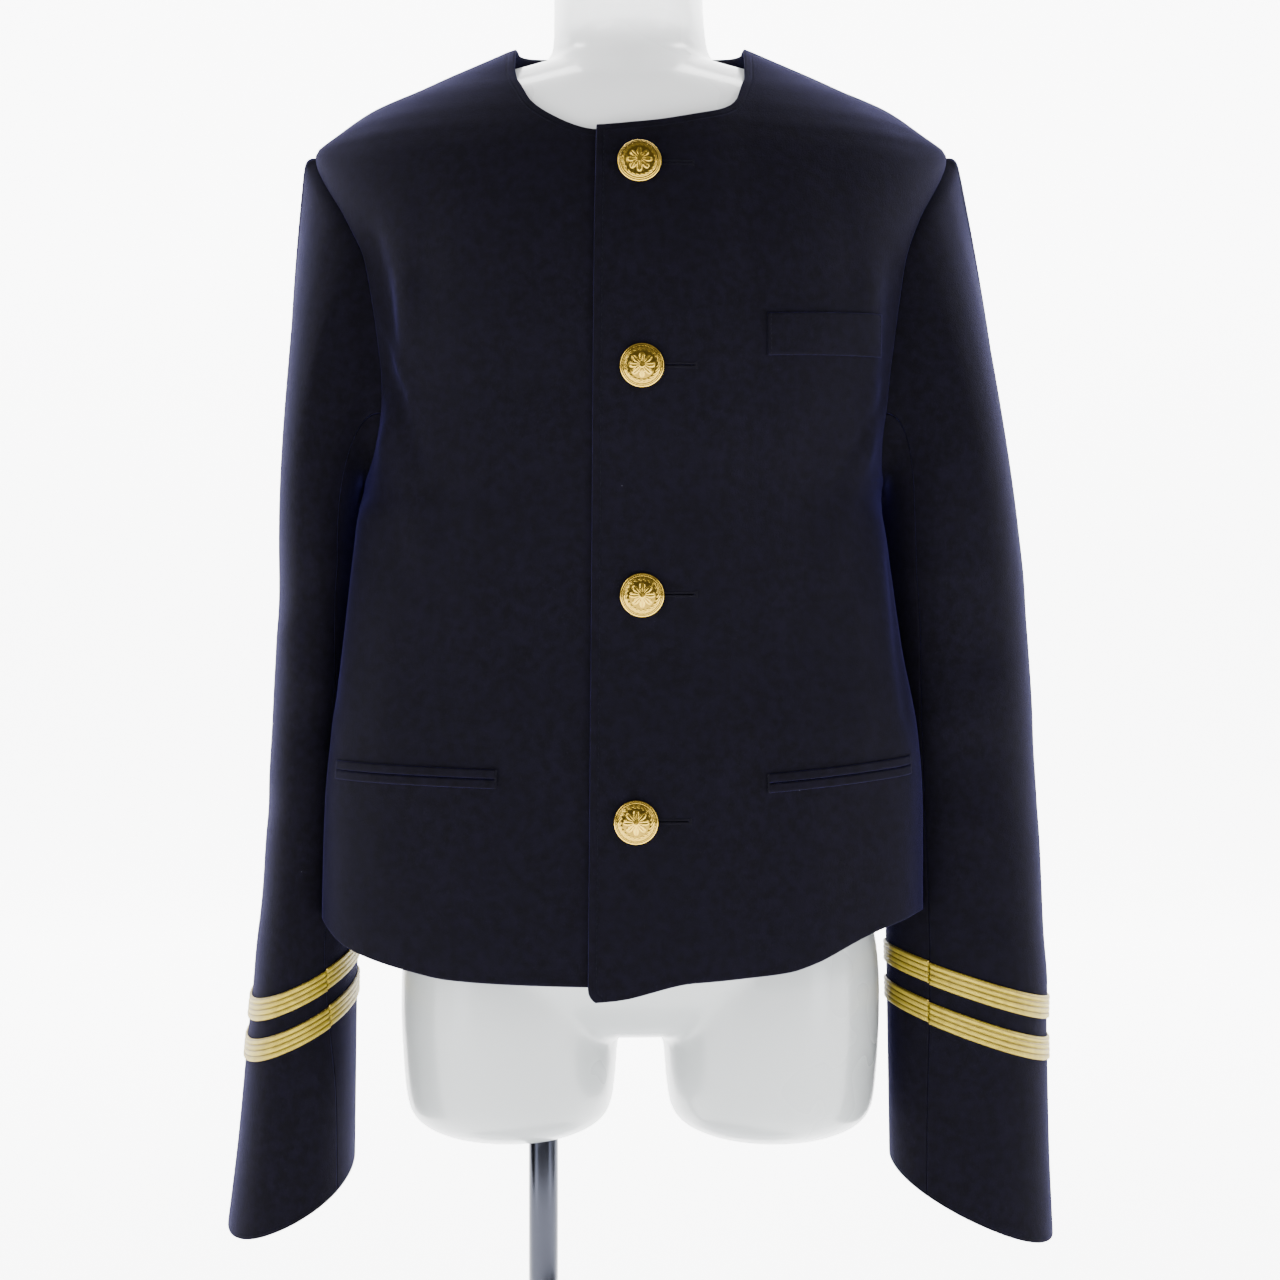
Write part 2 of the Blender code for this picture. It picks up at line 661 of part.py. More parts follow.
def sleeve_wall(side, piece, lift, thick):
    """A function of u and v for the top or the under sleeve, or for what lies on it."""
    def at(u, v):
        seam = front_seam(side, v)
        if piece == "top":
            turn = blend(HIND_SEAM - 360.0 + SEAM_TURN, seam - SEAM_TURN, u)
        else:
            turn = blend(seam + SEAM_TURN, HIND_SEAM - SEAM_TURN, u)
        n = sleeve_facing(side, turn, v)
        outer = sleeve(side, turn, v) + n * (lift + thick if lift else 0.0)
        return outer, outer - n * thick
    return at


def patch(at, across, up):
    """Outer and inner points of a piece on a grid of shares across and up it."""
    u, v = np.meshgrid(across, up)
    outer, inner = at(u.ravel(), v.ravel())
    shape = (len(up), len(across), 3)
    return outer.reshape(shape), inner.reshape(shape)


def material(name):
    colour, metallic, roughness = COLOURS[name]
    made = bpy.data.materials.get(name) or bpy.data.materials.new(name)
    made.use_nodes = True
    shader = made.node_tree.nodes["Principled BSDF"]
    shader.inputs["Base Color"].default_value = (*colour, 1.0)
    shader.inputs["Metallic"].default_value = metallic
    shader.inputs["Roughness"].default_value = roughness
    made.diffuse_color = (*colour, 1.0)
    return made


def finished(name, mesh_data, slot, crease=35.0):
    """An object from a bmesh, with its faces turned out and shaded smooth."""
    bmesh.ops.recalc_face_normals(mesh_data, faces=mesh_data.faces)
    if mesh_data.calc_volume(signed=True) < 0:
        bmesh.ops.reverse_faces(mesh_data, faces=mesh_data.faces)
    mesh = bpy.data.meshes.new(name)
    bmesh.ops.translate(mesh_data, verts=mesh_data.verts, vec=(MIDDLE_X, 0, 0))
    mesh_data.to_mesh(mesh)
    mesh_data.free()
    mesh.shade_smooth()
    mesh.set_sharp_from_angle(angle=math.radians(crease))
    mesh.materials.append(material(slot))
    made = bpy.data.objects.new(name, mesh)
    bpy.context.scene.collection.objects.link(made)
    return made


def wall(name, slot, patches):
    """One closed wall from patches that meet along shared points."""
    made = bmesh.new()
    outer_verts = {}
    inner_verts = {}
    uses = {}
    for outer, inner in patches:
        rows, columns = outer.shape[:2]
        keys = np.empty((rows, columns), object)
        for r in range(rows):
            for c in range(columns):
                key = tuple(np.round(outer[r, c], 6))
                keys[r, c] = key
                if key not in outer_verts:
                    outer_verts[key] = made.verts.new(outer[r, c])
                    inner_verts[key] = made.verts.new(inner[r, c])
        for r in range(rows - 1):
            for c in range(columns - 1):
                ring = (keys[r, c], keys[r, c + 1], keys[r + 1, c + 1], keys[r + 1, c])
                corners = list(dict.fromkeys(ring))
                if len(corners) < 3:
                    continue
                made.faces.new([outer_verts[k] for k in corners])
                made.faces.new([inner_verts[k] for k in reversed(corners)])
                for a, b in zip(corners, corners[1:] + corners[:1]):
                    pair = frozenset((a, b))
                    uses[pair] = uses.get(pair, 0) + 1
    for pair, count in uses.items():
        if count == 1:
            a, b = pair
            made.faces.new((outer_verts[a], outer_verts[b], inner_verts[b], inner_verts[a]))
    return finished(name, made, slot)


def turned(name, slot, profile, segments, place, axis):
    """A round piece: a profile of radius and height spun about an axis at a place."""
    made = bmesh.new()
    lift = Vector((0, 0, 1)).rotation_difference(Vector(axis)).to_matrix().to_4x4()
    frame = Matrix.Translation(place) @ lift
    rings = []
    for radius, height in profile:
        if radius == 0:
            rings.append([made.verts.new(frame @ Vector((0, 0, height)))])
            continue
        turns = [2 * math.pi * i / segments for i in range(segments)]
        ring = [frame @ Vector((radius * math.cos(t), radius * math.sin(t), height)) for t in turns]
        rings.append([made.verts.new(p) for p in ring])
    bridge_rings(made, rings, segments)
    return finished(name, made, slot)


def bridge_rings(made, rings, segments):
    """Faces between neighbouring rings, which may be single points."""
    for low, high in zip(rings, rings[1:]):
        for i in range(segments):
            j = (i + 1) % segments
            corners = [low[i % len(low)], low[j % len(low)], high[j % len(high)], high[i % len(high)]]
            made.faces.new(list(dict.fromkeys(corners)))


def lofted(name, slot, rings):
    """A closed shape through rings of points, with a fan at each end."""
    made = bmesh.new()
    verts = [[made.verts.new(p) for p in ring] for ring in rings]
    bridge_rings(made, verts, len(rings[0]))
    made.faces.new(verts[0])
    made.faces.new(verts[-1])
    return finished(name, made, slot)


def apply_boolean(target, other, operation):
    """Join or cut with another object, which is then removed."""
    modifier = target.modifiers.new(operation.lower(), "BOOLEAN")
    modifier.operation = operation
    modifier.solver = "EXACT"
    modifier.object = other
    bpy.context.view_layer.update()
    evaluated = target.evaluated_get(bpy.context.evaluated_depsgraph_get())
    mesh = bpy.data.meshes.new_from_object(evaluated)
    target.modifiers.clear()
    target.data = mesh
    bpy.data.objects.remove(other)


def body_frame(across, height):
    """A point of the body's front with its outward, sideways and upward directions."""
    angle = angle_at([across], np.array([height]))
    p = body(angle, [height])[0]
    n = Vector(body_facing(angle, np.array([height]))[0])
    sideways = Vector((0, 0, 1)).cross(n).normalized()
    return Vector(p), n, sideways, n.cross(sideways).normalized()


def slot_cutter(across, height):
    """A long thin block through the over front, where a buttonhole is worked."""
    p, n, sideways, up = body_frame(across, height)
    made = bmesh.new()
    corners = []
    for depth in (-2 * CLOTH, 4 * CLOTH):
        for x, z in ((HOLE_START, -1), (HOLE_END, -1), (HOLE_END, 1), (HOLE_START, 1)):
            corners.append(made.verts.new(p + n * depth + sideways * x + up * z * HOLE_HALF_HEIGHT))
    for ring in ((0, 1, 2, 3), (4, 5, 6, 7), (0, 1, 5, 4), (1, 2, 6, 5), (2, 3, 7, 6), (3, 0, 4, 7)):
        made.faces.new([corners[i] for i in ring])
    return finished("slot_cutter", made, "navy_wool")


def make_fronts():
    skirt_rows = ARMHOLE_SHARE * np.array([0, 0.03, 0.075, 0.155, 0.26, 0.38, 0.50, 0.62, 0.74, 0.87])
    upper_rows = np.linspace(ARMHOLE_SHARE, SHOULDER_SHARE, ARMHOLE_STEPS + 1)
    neck_rows = np.linspace(SHOULDER_SHARE, 1.0, NECK_STEPS + 1)[1:]
    up = np.concatenate([skirt_rows, upper_rows, neck_rows])
    across = np.linspace(0, 1, FRONT_COLUMNS + 1)
    over = body_wall(lambda u, v: front_cut(1, u, v), lap_lift, CLOTH)
    under = body_wall(lambda u, v: front_cut(-1, u, v), lambda a, h: 0 * h, CLOTH)
    left = wall("front_left", "navy_wool", [patch(over, across, up)])
    wall("front_right", "navy_wool", [patch(under, across, up)])
    for x, z in BUTTON_PLACES:
        apply_boolean(left, slot_cutter(x, z), "DIFFERENCE")


def make_back():
    lower_rows = np.linspace(0.0, ARMHOLE_SHARE, 9)
    upper_rows = np.linspace(ARMHOLE_SHARE, SHOULDER_SHARE, ARMHOLE_STEPS + 1)[1:]
    neck_rows = [0.825, BACK_NECK_SHARE, 0.90, 0.94, 0.97, 1.0]
    up = np.concatenate([lower_rows, upper_rows, neck_rows])
    across = np.linspace(0, 1, BACK_COLUMNS + 1)
    halves = []
    for side in (-1, 1):
        at = body_wall(lambda u, v: back_cut(side, u, v), lambda a, h: 0 * h, CLOTH)
        halves.append(patch(at, across, up))
    wall("back", "navy_wool", halves)


def make_sleeves():
    cap_rows = CAP_SHARE * np.array([0, 0.06, 0.14, 0.24, 0.36, 0.50, 0.66, 0.83])
    tube_rows = np.linspace(CAP_SHARE, 1.0, 14)
    up = np.concatenate([cap_rows, tube_rows])
    columns = {"top": np.linspace(0, 1, TOP_STEPS + 1), "under": np.linspace(0, 1, UNDER_STEPS + 1)}
    for label, side in (("right", -1), ("left", 1)):
        for piece, across in columns.items():
            at = sleeve_wall(side, piece, 0.0, CLOTH)
            wall(f"sleeve_{piece}_{label}", "navy_wool", [patch(at, across, up)])
            for level, rise in BRAID_HEIGHTS:
                low = sleeve_low(side) + rise + (BRAID_JOG if piece == "under" else 0.0)
                rows = share_at(side, np.linspace(low, low + BRAID_WIDTH, 3))
                at = sleeve_wall(side, piece, TRIM_GAP, BRAID_THICK)
                name = f"braid_{level}_{piece}_{label}"
                wall(name, "gold_braid", [patch(at, across, rows)])


def trim(name, cut, rows, columns):
    """A flat strip of cloth that lies on a front."""
    on_lap = body_wall(cut, lambda a, h: 0 * h + TRIM_GAP + TRIM_THICK, TRIM_THICK)
    wall(name, "navy_wool", [patch(on_lap, np.linspace(0, 1, columns), np.linspace(0, 1, rows))])


def make_pockets():
    for label, side in (("right", -1), ("left", 1)):
        inner, outer_angle, inner_height, outer_height = HIP_SLITS[side]
        inner_angle = abs(float(angle_at([side * inner], np.array([inner_height]))[0]))
        for name, way in (("upper", 1), ("lower", -1)):
            def cut(u, v):
                angle = side * blend(inner_angle, outer_angle, u)
                slit = blend(inner_height, outer_height, u)
                near = way * JET_PARTING / 2
                return angle, slit + blend(near, near + way * JET_WIDTH, v)
            trim(f"hip_jet_{name}_{label}", cut, 2, 13)

    def welt(u, v):
        low = blend(WELT_LOW[0], WELT_LOW[1], u)
        high = blend(WELT_HIGH[0], WELT_HIGH[1], u)
        height = blend(low, high, v)
        return angle_at(blend(WELT_SPAN[0], WELT_SPAN[1], u), height), height
    trim("breast_welt", welt, 4, 9)


def button_profile(droop):
    """Distance and height round a button's axis; a drooping one stands further off."""
    seat = SEAM_GAP
    r = BUTTON_RADIUS
    under = LAP_LIFT + BUTTON_CLEAR + r * math.sin(droop)
    dome = [(math.sin(t) * r * 0.84, math.cos(t)) for t in np.radians([66, 44, 22])]
    profile = [(0, seat), (SHANK_RADIUS, seat), (SHANK_RADIUS, under), (r * 0.93, under)]
    profile += [(r, under + BUTTON_EDGE * 0.4), (r, under + BUTTON_EDGE)]
    profile.append((r * 0.93, under + BUTTON_EDGE * 1.3))
    flat = math.cos(math.radians(70))
    for radius, rise in dome:
        lift = (rise - flat) / (1 - flat) * (BUTTON_DOME - BUTTON_EDGE)
        profile.append((radius, under + BUTTON_EDGE + lift))
    return profile + [(0, under + BUTTON_DOME)]


def button_frame(number):
    """Where a button's axis starts and points; it droops about the middle of its buttonhole."""
    droop = math.radians(BUTTON_DROOPS[number - 1])
    place, out, sideways, up = body_frame(*BUTTON_PLACES[number - 1])
    axis = out * math.cos(droop) - up * math.sin(droop)
    return place + (out - axis) * (LAP_LIFT - CLOTH / 2), axis, sideways, axis.cross(sideways)


def make_buttons():
    for number, droop in enumerate(BUTTON_DROOPS, 1):
        profile = button_profile(math.radians(droop))
        place, axis, _, _ = button_frame(number)
        turned(f"button_{number}", "gold_metal", profile, BUTTON_SEGMENTS, place, axis)


def form_ring(height, count, across=1.0, deep=1.0):
    """One level ring of the dress form, inside the cloth by its fit."""
    turns = np.linspace(0, 360, count, endpoint=False)
    level = np.full(count, height)
    gap, shift = read(FIT, level)
    n = facing(plain_body, turns, level, 2.5, 0.003)
    p = plain_body(turns, level) - n * (CLOTH + gap)[:, None]
    over = np.maximum(np.abs(p[:, 0]) - SHOULDER_ROUND_FROM, 0)
    kept = np.minimum(np.abs(p[:, 0]), SHOULDER_ROUND_FROM)
    rounded = SHOULDER_ROUND * (1 - np.exp(-over / SHOULDER_ROUND))
    p[:, 0] = np.sign(p[:, 0]) * (kept + rounded) * across + shift
    p[:, 1] *= deep
    return p


def make_form():
    """The torso with its neck, joined to two short thighs, one with a socket for the pole."""
    count = 32
    rings = []
    for height, across, deep in FORM_FLOOR:
        ring = form_ring(0.300, count, across, deep)
        ring[:, 2] = height
        rings.append(ring)
    heights = [0.315, 0.335, 0.375, 0.42, 0.47, 0.52, 0.565, 0.61, 0.65, 0.685, 0.712]
    heights += [0.732, 0.741, 0.750, 0.758, 0.766, 0.7765, 0.787, 0.793, 0.800, 0.808, 0.822, 0.845]
    rings += [form_ring(h, count) for h in heights]
    rings.append(form_ring(FORM_TOP, count, 0.93, 0.93))
    form = lofted("form_body", "white_gloss", rings)
    turns = np.radians(np.linspace(0, 360, 24, endpoint=False))
    for centre in STUMP_CENTRES:
        levels = []
        for height, half in STUMPS:
            x = centre + half * np.cos(turns)
            y = POLE_Y + half * STUMP_DEEPER * np.sin(turns)
            levels.append(np.stack([x, y, height + 0 * x], axis=1))
        apply_boolean(form, lofted("thigh", "white_gloss", levels), "UNION")
    hole = [(0, STUMP_LOW - 0.01), (POLE_RADIUS + SEAM_GAP, STUMP_LOW - 0.01)]
    hole += [(POLE_RADIUS + SEAM_GAP, STUMP_LOW + POLE_SOCKET), (0, STUMP_LOW + POLE_SOCKET)]
    cutter = turned("socket_cutter", "chrome", hole, 24, (POLE_X, POLE_Y, 0), (0, 0, 1))
    apply_boolean(form, cutter, "DIFFERENCE")


def make_stand():
    low = BASE_THICK - BASE_SOCKET + SEAM_GAP
    high = STUMP_LOW + POLE_SOCKET - SEAM_GAP
    r = POLE_RADIUS
    pole = [(0, low), (r, low), (r, high), (0, high)]
    turned("pole", "chrome", pole, 24, (POLE_X, POLE_Y, 0), (0, 0, 1))
    b = BASE_RADIUS
    plate = [(0, 0), (b - 0.002, 0), (b, 0.002), (b, BASE_THICK * 0.55), (b - 0.004, BASE_THICK * 0.9)]
    plate += [(b - 0.010, BASE_THICK), (0, BASE_THICK)]
    base = turned("stand_base", "stand_steel", plate, 48, (BASE_X, 0, 0), (0, 0, 1))
    socket = [(0, BASE_THICK - BASE_SOCKET), (r + SEAM_GAP, BASE_THICK - BASE_SOCKET)]
    socket += [(r + SEAM_GAP, BASE_THICK + 0.01), (0, BASE_THICK + 0.01)]
    cutter = turned("base_cutter", "chrome", socket, 24, (POLE_X, POLE_Y, 0), (0, 0, 1))
    apply_boolean(base, cutter, "DIFFERENCE")


def main():
    for old in list(bpy.data.objects):
        bpy.data.objects.remove(old)
    make_fronts()
    make_back()
    make_sleeves()
    make_pockets()
    make_buttons()
    make_form()
    make_stand()


main()
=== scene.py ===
# %% [markdown]
# # A captain jacket on its dress form
# The real thing is a short collarless jacket of navy melton wool, closed with four domed gold
# buttons and ringed with gold braid at the cuffs. It hangs on a glossy limbless dress form.
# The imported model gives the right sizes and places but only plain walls. This notebook loads
# it as a fixed frame and puts a finer piece over each solid, in metres and in the same place.

import math

import bmesh
import bpy
import numpy as np
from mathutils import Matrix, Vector
from mathutils.kdtree import KDTree


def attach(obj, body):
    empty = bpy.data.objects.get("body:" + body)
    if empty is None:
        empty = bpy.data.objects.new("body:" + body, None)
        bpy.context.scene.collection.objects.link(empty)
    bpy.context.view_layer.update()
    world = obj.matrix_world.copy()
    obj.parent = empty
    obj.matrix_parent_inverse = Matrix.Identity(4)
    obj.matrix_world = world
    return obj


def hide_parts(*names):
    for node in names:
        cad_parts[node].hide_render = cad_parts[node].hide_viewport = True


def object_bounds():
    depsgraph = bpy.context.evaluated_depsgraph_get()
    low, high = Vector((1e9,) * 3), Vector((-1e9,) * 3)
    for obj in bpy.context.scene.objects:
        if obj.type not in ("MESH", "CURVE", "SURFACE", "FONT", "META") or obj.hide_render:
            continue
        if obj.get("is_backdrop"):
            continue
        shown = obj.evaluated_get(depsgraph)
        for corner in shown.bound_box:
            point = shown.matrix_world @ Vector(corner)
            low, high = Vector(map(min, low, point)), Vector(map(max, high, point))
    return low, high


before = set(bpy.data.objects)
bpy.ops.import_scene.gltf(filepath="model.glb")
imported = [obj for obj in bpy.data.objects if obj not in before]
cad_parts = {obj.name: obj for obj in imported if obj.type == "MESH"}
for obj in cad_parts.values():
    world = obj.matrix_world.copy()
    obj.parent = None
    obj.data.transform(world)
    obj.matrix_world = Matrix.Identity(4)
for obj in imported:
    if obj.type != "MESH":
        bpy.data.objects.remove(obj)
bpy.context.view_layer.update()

# %% [markdown]
# ## Sizes that the cutter would write down
# Cloth, seams, edges and trims come first, because every later step reads them. One surface
# stands for the whole body of the jacket. It could be sculpted, but a short table of level
# sections is easier to mend, and the front, side and top views follow from the same rows.

# %% Named sizes
# Cloth, seams and trims
CLOTH = 0.0022
SEAM_GAP = 0.0001
LAP_GAP = 0.0007
LAP_LIFT = CLOTH + LAP_GAP
BRAID_WIDTH = 0.0125
BRAID_HEIGHTS = (("low", 0.0945), ("high", 0.1165))
BRAID_THICK = 0.0015
BRAID_JOG = 0.0008
ON_CLOTH = 0.00005

# Fronts
OVER_EDGE_TOP = -0.0180
OVER_EDGE_HEM = -0.0216
OVER_CORNER = 0.0085
UNDER_EDGE = 0.0385
LAP_EASE_START = 0.040
LAP_EASE = 0.030
FRONT_HEM = 0.2665
SIDE_HEM = 0.3000
BACK_HEM = 0.2940
FRONT_NECK = 0.7274
NECK_POINT = 0.793
BACK_NECK = 0.806
SHOULDER_TIP = 0.732
UNDERARM = 0.535
SIDE_SEAM = 90.0

# Where the armhole and the shoulder seam start along a panel's outer edge, as shares of it
ARMHOLE_SHARE = 0.42
SHOULDER_SHARE = 0.79
BACK_NECK_SHARE = 0.86

# How far a front's rows sag below its flat neckline, and where across it they sag most
NECK_SAG = 0.018
SAG_PLACE = 0.30

# Buttons and buttonholes
BUTTON_RADIUS = 0.0118
BUTTON_EDGE = 0.0016
BUTTON_DOME = 0.0044
BUTTON_CLEAR = 0.0006
SHANK_RADIUS = 0.0013
BUTTON_PLACES = ((0.0054, 0.7046), (0.0068, 0.5948), (0.0068, 0.4737), (0.0037, 0.3536))
BUTTON_DROOPS = (11.0, 0.0, 0.0, 0.0)

# Dress form and stand
FORM_TOP = 0.850
SHOULDER_ROUND_FROM = 0.118
SHOULDER_ROUND = 0.030
POLE_X = -0.050
POLE_Y = -0.004
POLE_RADIUS = 0.0085
POLE_SOCKET = 0.060
STUMP_LOW = 0.1638
BASE_X = -0.010
BASE_RADIUS = 0.140
BASE_THICK = 0.012
BASE_SOCKET = 0.008

# Sideways shift that puts the middle of the whole part over the origin
MIDDLE_X = -0.0066

# %% [markdown]
# ## Tables of the shape
# Every table has its columns named above it. The body is a stack of level sections, and the
# hem, neckline and armhole are lines drawn on that surface in angle and height.

# %% Sections, folds, hems, necklines and sleeves
# Body sections, from the hem up to the top of the neck
# height, half width, front depth, back depth, sideways shift, ridge shift, squareness
BODY = np.array([
    (0.245, 0.1785, 0.1285, 0.1230, -0.0055, 0.0000, 2.35),
    (0.300, 0.1780, 0.1265, 0.1190, -0.0055, 0.0000, 2.35),
    (0.360, 0.1770, 0.1240, 0.1140, -0.0050, 0.0000, 2.35),
    (0.395, 0.1740, 0.1230, 0.1105, -0.0045, 0.0000, 2.35),
    (0.450, 0.1650, 0.1210, 0.1070, -0.0065, 0.0000, 2.35),
    (0.515, 0.1545, 0.1215, 0.1100, -0.0065, 0.0000, 2.30),
    (0.535, 0.1490, 0.1220, 0.1115, -0.0040, 0.0000, 2.30),
    (0.560, 0.1500, 0.1235, 0.1130, 0.0000, 0.0000, 2.25),
    (0.585, 0.1530, 0.1245, 0.1145, 0.0030, 0.0010, 2.20),
    (0.615, 0.1575, 0.1250, 0.1145, 0.0035, 0.0020, 2.15),
    (0.650, 0.1640, 0.1230, 0.1120, 0.0030, 0.0040, 2.10),
    (0.680, 0.1710, 0.1185, 0.1080, 0.0020, 0.0060, 2.05),
    (0.712, 0.1800, 0.1105, 0.0990, 0.0010, 0.0090, 1.95),
    (0.732, 0.1840, 0.1035, 0.0910, 0.0005, 0.0110, 1.85),
    (0.741, 0.1735, 0.0980, 0.0865, 0.0000, 0.0120, 1.80),
    (0.750, 0.1620, 0.0915, 0.0820, 0.0000, 0.0120, 1.75),
    (0.758, 0.1500, 0.0850, 0.0775, 0.0000, 0.0120, 1.70),
    (0.766, 0.1310, 0.0780, 0.0730, 0.0000, 0.0120, 1.65),
    (0.777, 0.1065, 0.0700, 0.0680, 0.0000, 0.0120, 1.65),
    (0.787, 0.0810, 0.0640, 0.0640, 0.0000, 0.0115, 1.75),
    (0.793, 0.0655, 0.0610, 0.0620, 0.0000, 0.0110, 1.85),
    (0.800, 0.0620, 0.0595, 0.0605, 0.0000, 0.0095, 1.95),
    (0.807, 0.0575, 0.0580, 0.0585, -0.0005, 0.0080, 2.00),
    (0.821, 0.0535, 0.0570, 0.0570, -0.0010, 0.0040, 2.00),
    (0.850, 0.0520, 0.0560, 0.0560, -0.0010, -0.0040, 2.00),
])

# Soft folds of the body cloth, ridges out and troughs in
# side, upper angle, upper height, lower angle, lower height, reach across, depth
BODY_FOLDS = np.array([
    (-1, 60.0, 0.668, 57.0, 0.590, 0.014, -0.0040),
    (-1, 50.0, 0.640, 62.0, 0.560, 0.013, 0.0030),
    (1, 60.0, 0.655, 60.0, 0.600, 0.014, -0.0012),
    (1, 52.0, 0.640, 60.0, 0.555, 0.014, 0.0020),
    (-1, 122.0, 0.660, 118.0, 0.560, 0.016, -0.0035),
    (1, 122.0, 0.660, 119.0, 0.550, 0.016, -0.0035),
    (-1, 148.0, 0.560, 140.0, 0.300, 0.022, -0.0030),
    (1, 150.0, 0.540, 143.0, 0.300, 0.022, -0.0030),
    (-1, 62.0, 0.520, 52.0, 0.300, 0.024, 0.0025),
    (1, 64.0, 0.510, 55.0, 0.300, 0.024, 0.0025),
])

# Hem height on the under front and the over front, from the centre to the side: angle, height
HEM_FRONT = {
    -1: np.array([
        (0.0, FRONT_HEM),
        (14.0, 0.2673),
        (27.0, 0.2688),
        (36.0, 0.2724),
        (46.0, 0.2772),
        (56.0, 0.2838),
        (63.0, 0.2905),
        (68.0, 0.2955),
        (76.0, 0.2990),
        (90.0, SIDE_HEM),
    ]),
    1: np.array([
        (0.0, FRONT_HEM),
        (8.0, 0.2684),
        (17.5, 0.2704),
        (27.0, 0.2728),
        (33.0, 0.2772),
        (38.5, 0.2828),
        (45.5, 0.2893),
        (51.0, 0.2932),
        (58.0, 0.2960),
        (68.0, 0.2985),
        (90.0, SIDE_HEM),
    ]),
}

# Hem height on each half of the back, from the side to the centre: angle, height
HEM_BACK = np.array([
    (90.0, SIDE_HEM),
    (115.0, 0.3000),
    (150.0, 0.2955),
    (180.0, BACK_HEM),
])
OVER_HEM_DROP = 0.0090
OVER_HEM_FROM = -5.0
OVER_HEM_REACH = 15.0
UNDER_HEM_TUCK = 0.0042
UNDER_HEM_REACH = 8.5

# Front necklines: across, height
OVER_NECK = np.array([
    (OVER_EDGE_TOP, FRONT_NECK),
    (0.0027, 0.7293),
    (0.0187, 0.7313),
    (0.0360, 0.7347),
    (0.0470, 0.7374),
    (0.0552, 0.7422),
    (0.0615, 0.7525),
    (0.0640, 0.7645),
    (0.0648, 0.7750),
    (0.0655, NECK_POINT),
])
UNDER_NECK = np.array([
    (-UNDER_EDGE, FRONT_NECK),
    (0.0050, 0.7263),
    (0.0180, 0.7267),
    (0.0218, 0.7273),
    (0.0330, 0.7310),
    (0.0468, 0.7392),
    (0.0565, 0.7495),
    (0.0625, 0.7633),
    (0.0650, 0.7740),
    (0.0655, NECK_POINT),
])

# Armhole, from the shoulder tip down to the underarm: angle, height
ARMHOLE_FRONT = np.array([
    (90.0, 0.732),
    (76.0, 0.7055),
    (70.0, 0.689),
    (65.8, 0.660),
    (65.8, 0.630),
    (66.0, 0.600),
    (67.5, 0.573),
    (74.0, 0.547),
    (90.0, 0.535),
])
ARMHOLE_BACK = np.array([
    (90.0, 0.732),
    (100.0, 0.716),
    (106.0, 0.690),
    (110.0, 0.655),
    (111.0, 0.620),
    (110.5, 0.590),
    (108.0, 0.563),
    (102.0, 0.545),
    (90.0, 0.535),
])

# Sleeve sections below the armpit, for the wearer's right and left
# height, outer side, inner side, front, back, rise to the body, dip to the front, front seam angle
SLEEVES = {
    -1: np.array([
        (0.5150, 0.2020, 0.1525, -0.0690, 0.0850, 0.00, 0.00, 126.0),
        (0.4730, 0.2035, 0.1535, -0.0660, 0.0840, 0.00, 0.00, 125.0),
        (0.4150, 0.2065, 0.1545, -0.0590, 0.0820, 0.00, 0.00, 124.0),
        (0.3570, 0.2095, 0.1560, -0.0570, 0.0750, 0.15, 0.00, 124.0),
        (0.2990, 0.2130, 0.1580, -0.0580, 0.0660, 0.36, 0.05, 124.0),
        (0.2700, 0.2165, 0.1588, -0.0590, 0.0620, 0.44, 0.12, 125.0),
        (0.2410, 0.2195, 0.1588, -0.0600, 0.0570, 0.45, 0.13, 130.0),
        (0.1830, 0.2245, 0.1588, -0.0630, 0.0500, 0.43, 0.16, 143.0),
        (0.1345, 0.2300, 0.1588, -0.0650, 0.0435, 0.40, 0.22, 146.0),
    ]),
    1: np.array([
        (0.5150, 0.2245, 0.1435, -0.0620, 0.0760, 0.00, 0.00, 126.0),
        (0.4730, 0.2295, 0.1440, -0.0580, 0.0730, 0.00, 0.00, 125.0),
        (0.4150, 0.2335, 0.1450, -0.0520, 0.0680, 0.00, 0.00, 124.0),
        (0.3570, 0.2365, 0.1462, -0.0500, 0.0600, 0.12, 0.00, 123.0),
        (0.2990, 0.2385, 0.1475, -0.0520, 0.0500, 0.26, 0.00, 122.5),
        (0.2700, 0.2395, 0.1482, -0.0530, 0.0470, 0.31, 0.00, 122.5),
        (0.2410, 0.2400, 0.1485, -0.0530, 0.0440, 0.34, 0.02, 123.0),
        (0.1830, 0.2408, 0.1490, -0.0540, 0.0380, 0.40, 0.10, 126.0),
        (0.1322, 0.2428, 0.1495, -0.0550, 0.0350, 0.44, 0.20, 128.0),
    ]),
}
SLEEVE_SQUARE = 2.15
HIND_SEAM = 252.0
SEAM_TURN = 0.02
CAP_SHARE = 0.34
SLEEVE_CLEAR = 0.0012
PRESS_SOFT = 0.0030
PRESS_TOP = 0.520

# How a sleeve leaves its armhole: angle round it, into the hole, out of the body, length
CAP_START = np.array([
    (0.0, 0.62, 0.80, 0.040),
    (60.0, 0.50, 0.86, 0.045),
    (120.0, 0.35, 0.93, 0.045),
    (165.0, -0.10, 0.98, 0.016),
    (180.0, -0.25, 0.95, 0.010),
    (195.0, -0.10, 0.98, 0.016),
    (240.0, 0.35, 0.93, 0.045),
    (300.0, 0.50, 0.86, 0.045),
    (360.0, 0.62, 0.80, 0.040),
])

# Soft folds of the sleeves: side, angle, height, reach along, reach round, depth
SLEEVE_FOLDS = np.array([
    (-1, 70.0, 0.470, 0.030, 50.0, -0.0030),
    (-1, 95.0, 0.400, 0.020, 45.0, -0.0035),
    (-1, 300.0, 0.430, 0.030, 50.0, -0.0030),
    (1, 80.0, 0.450, 0.030, 50.0, -0.0035),
    (1, 60.0, 0.385, 0.022, 45.0, -0.0030),
    (1, 290.0, 0.420, 0.030, 50.0, -0.0030),
])

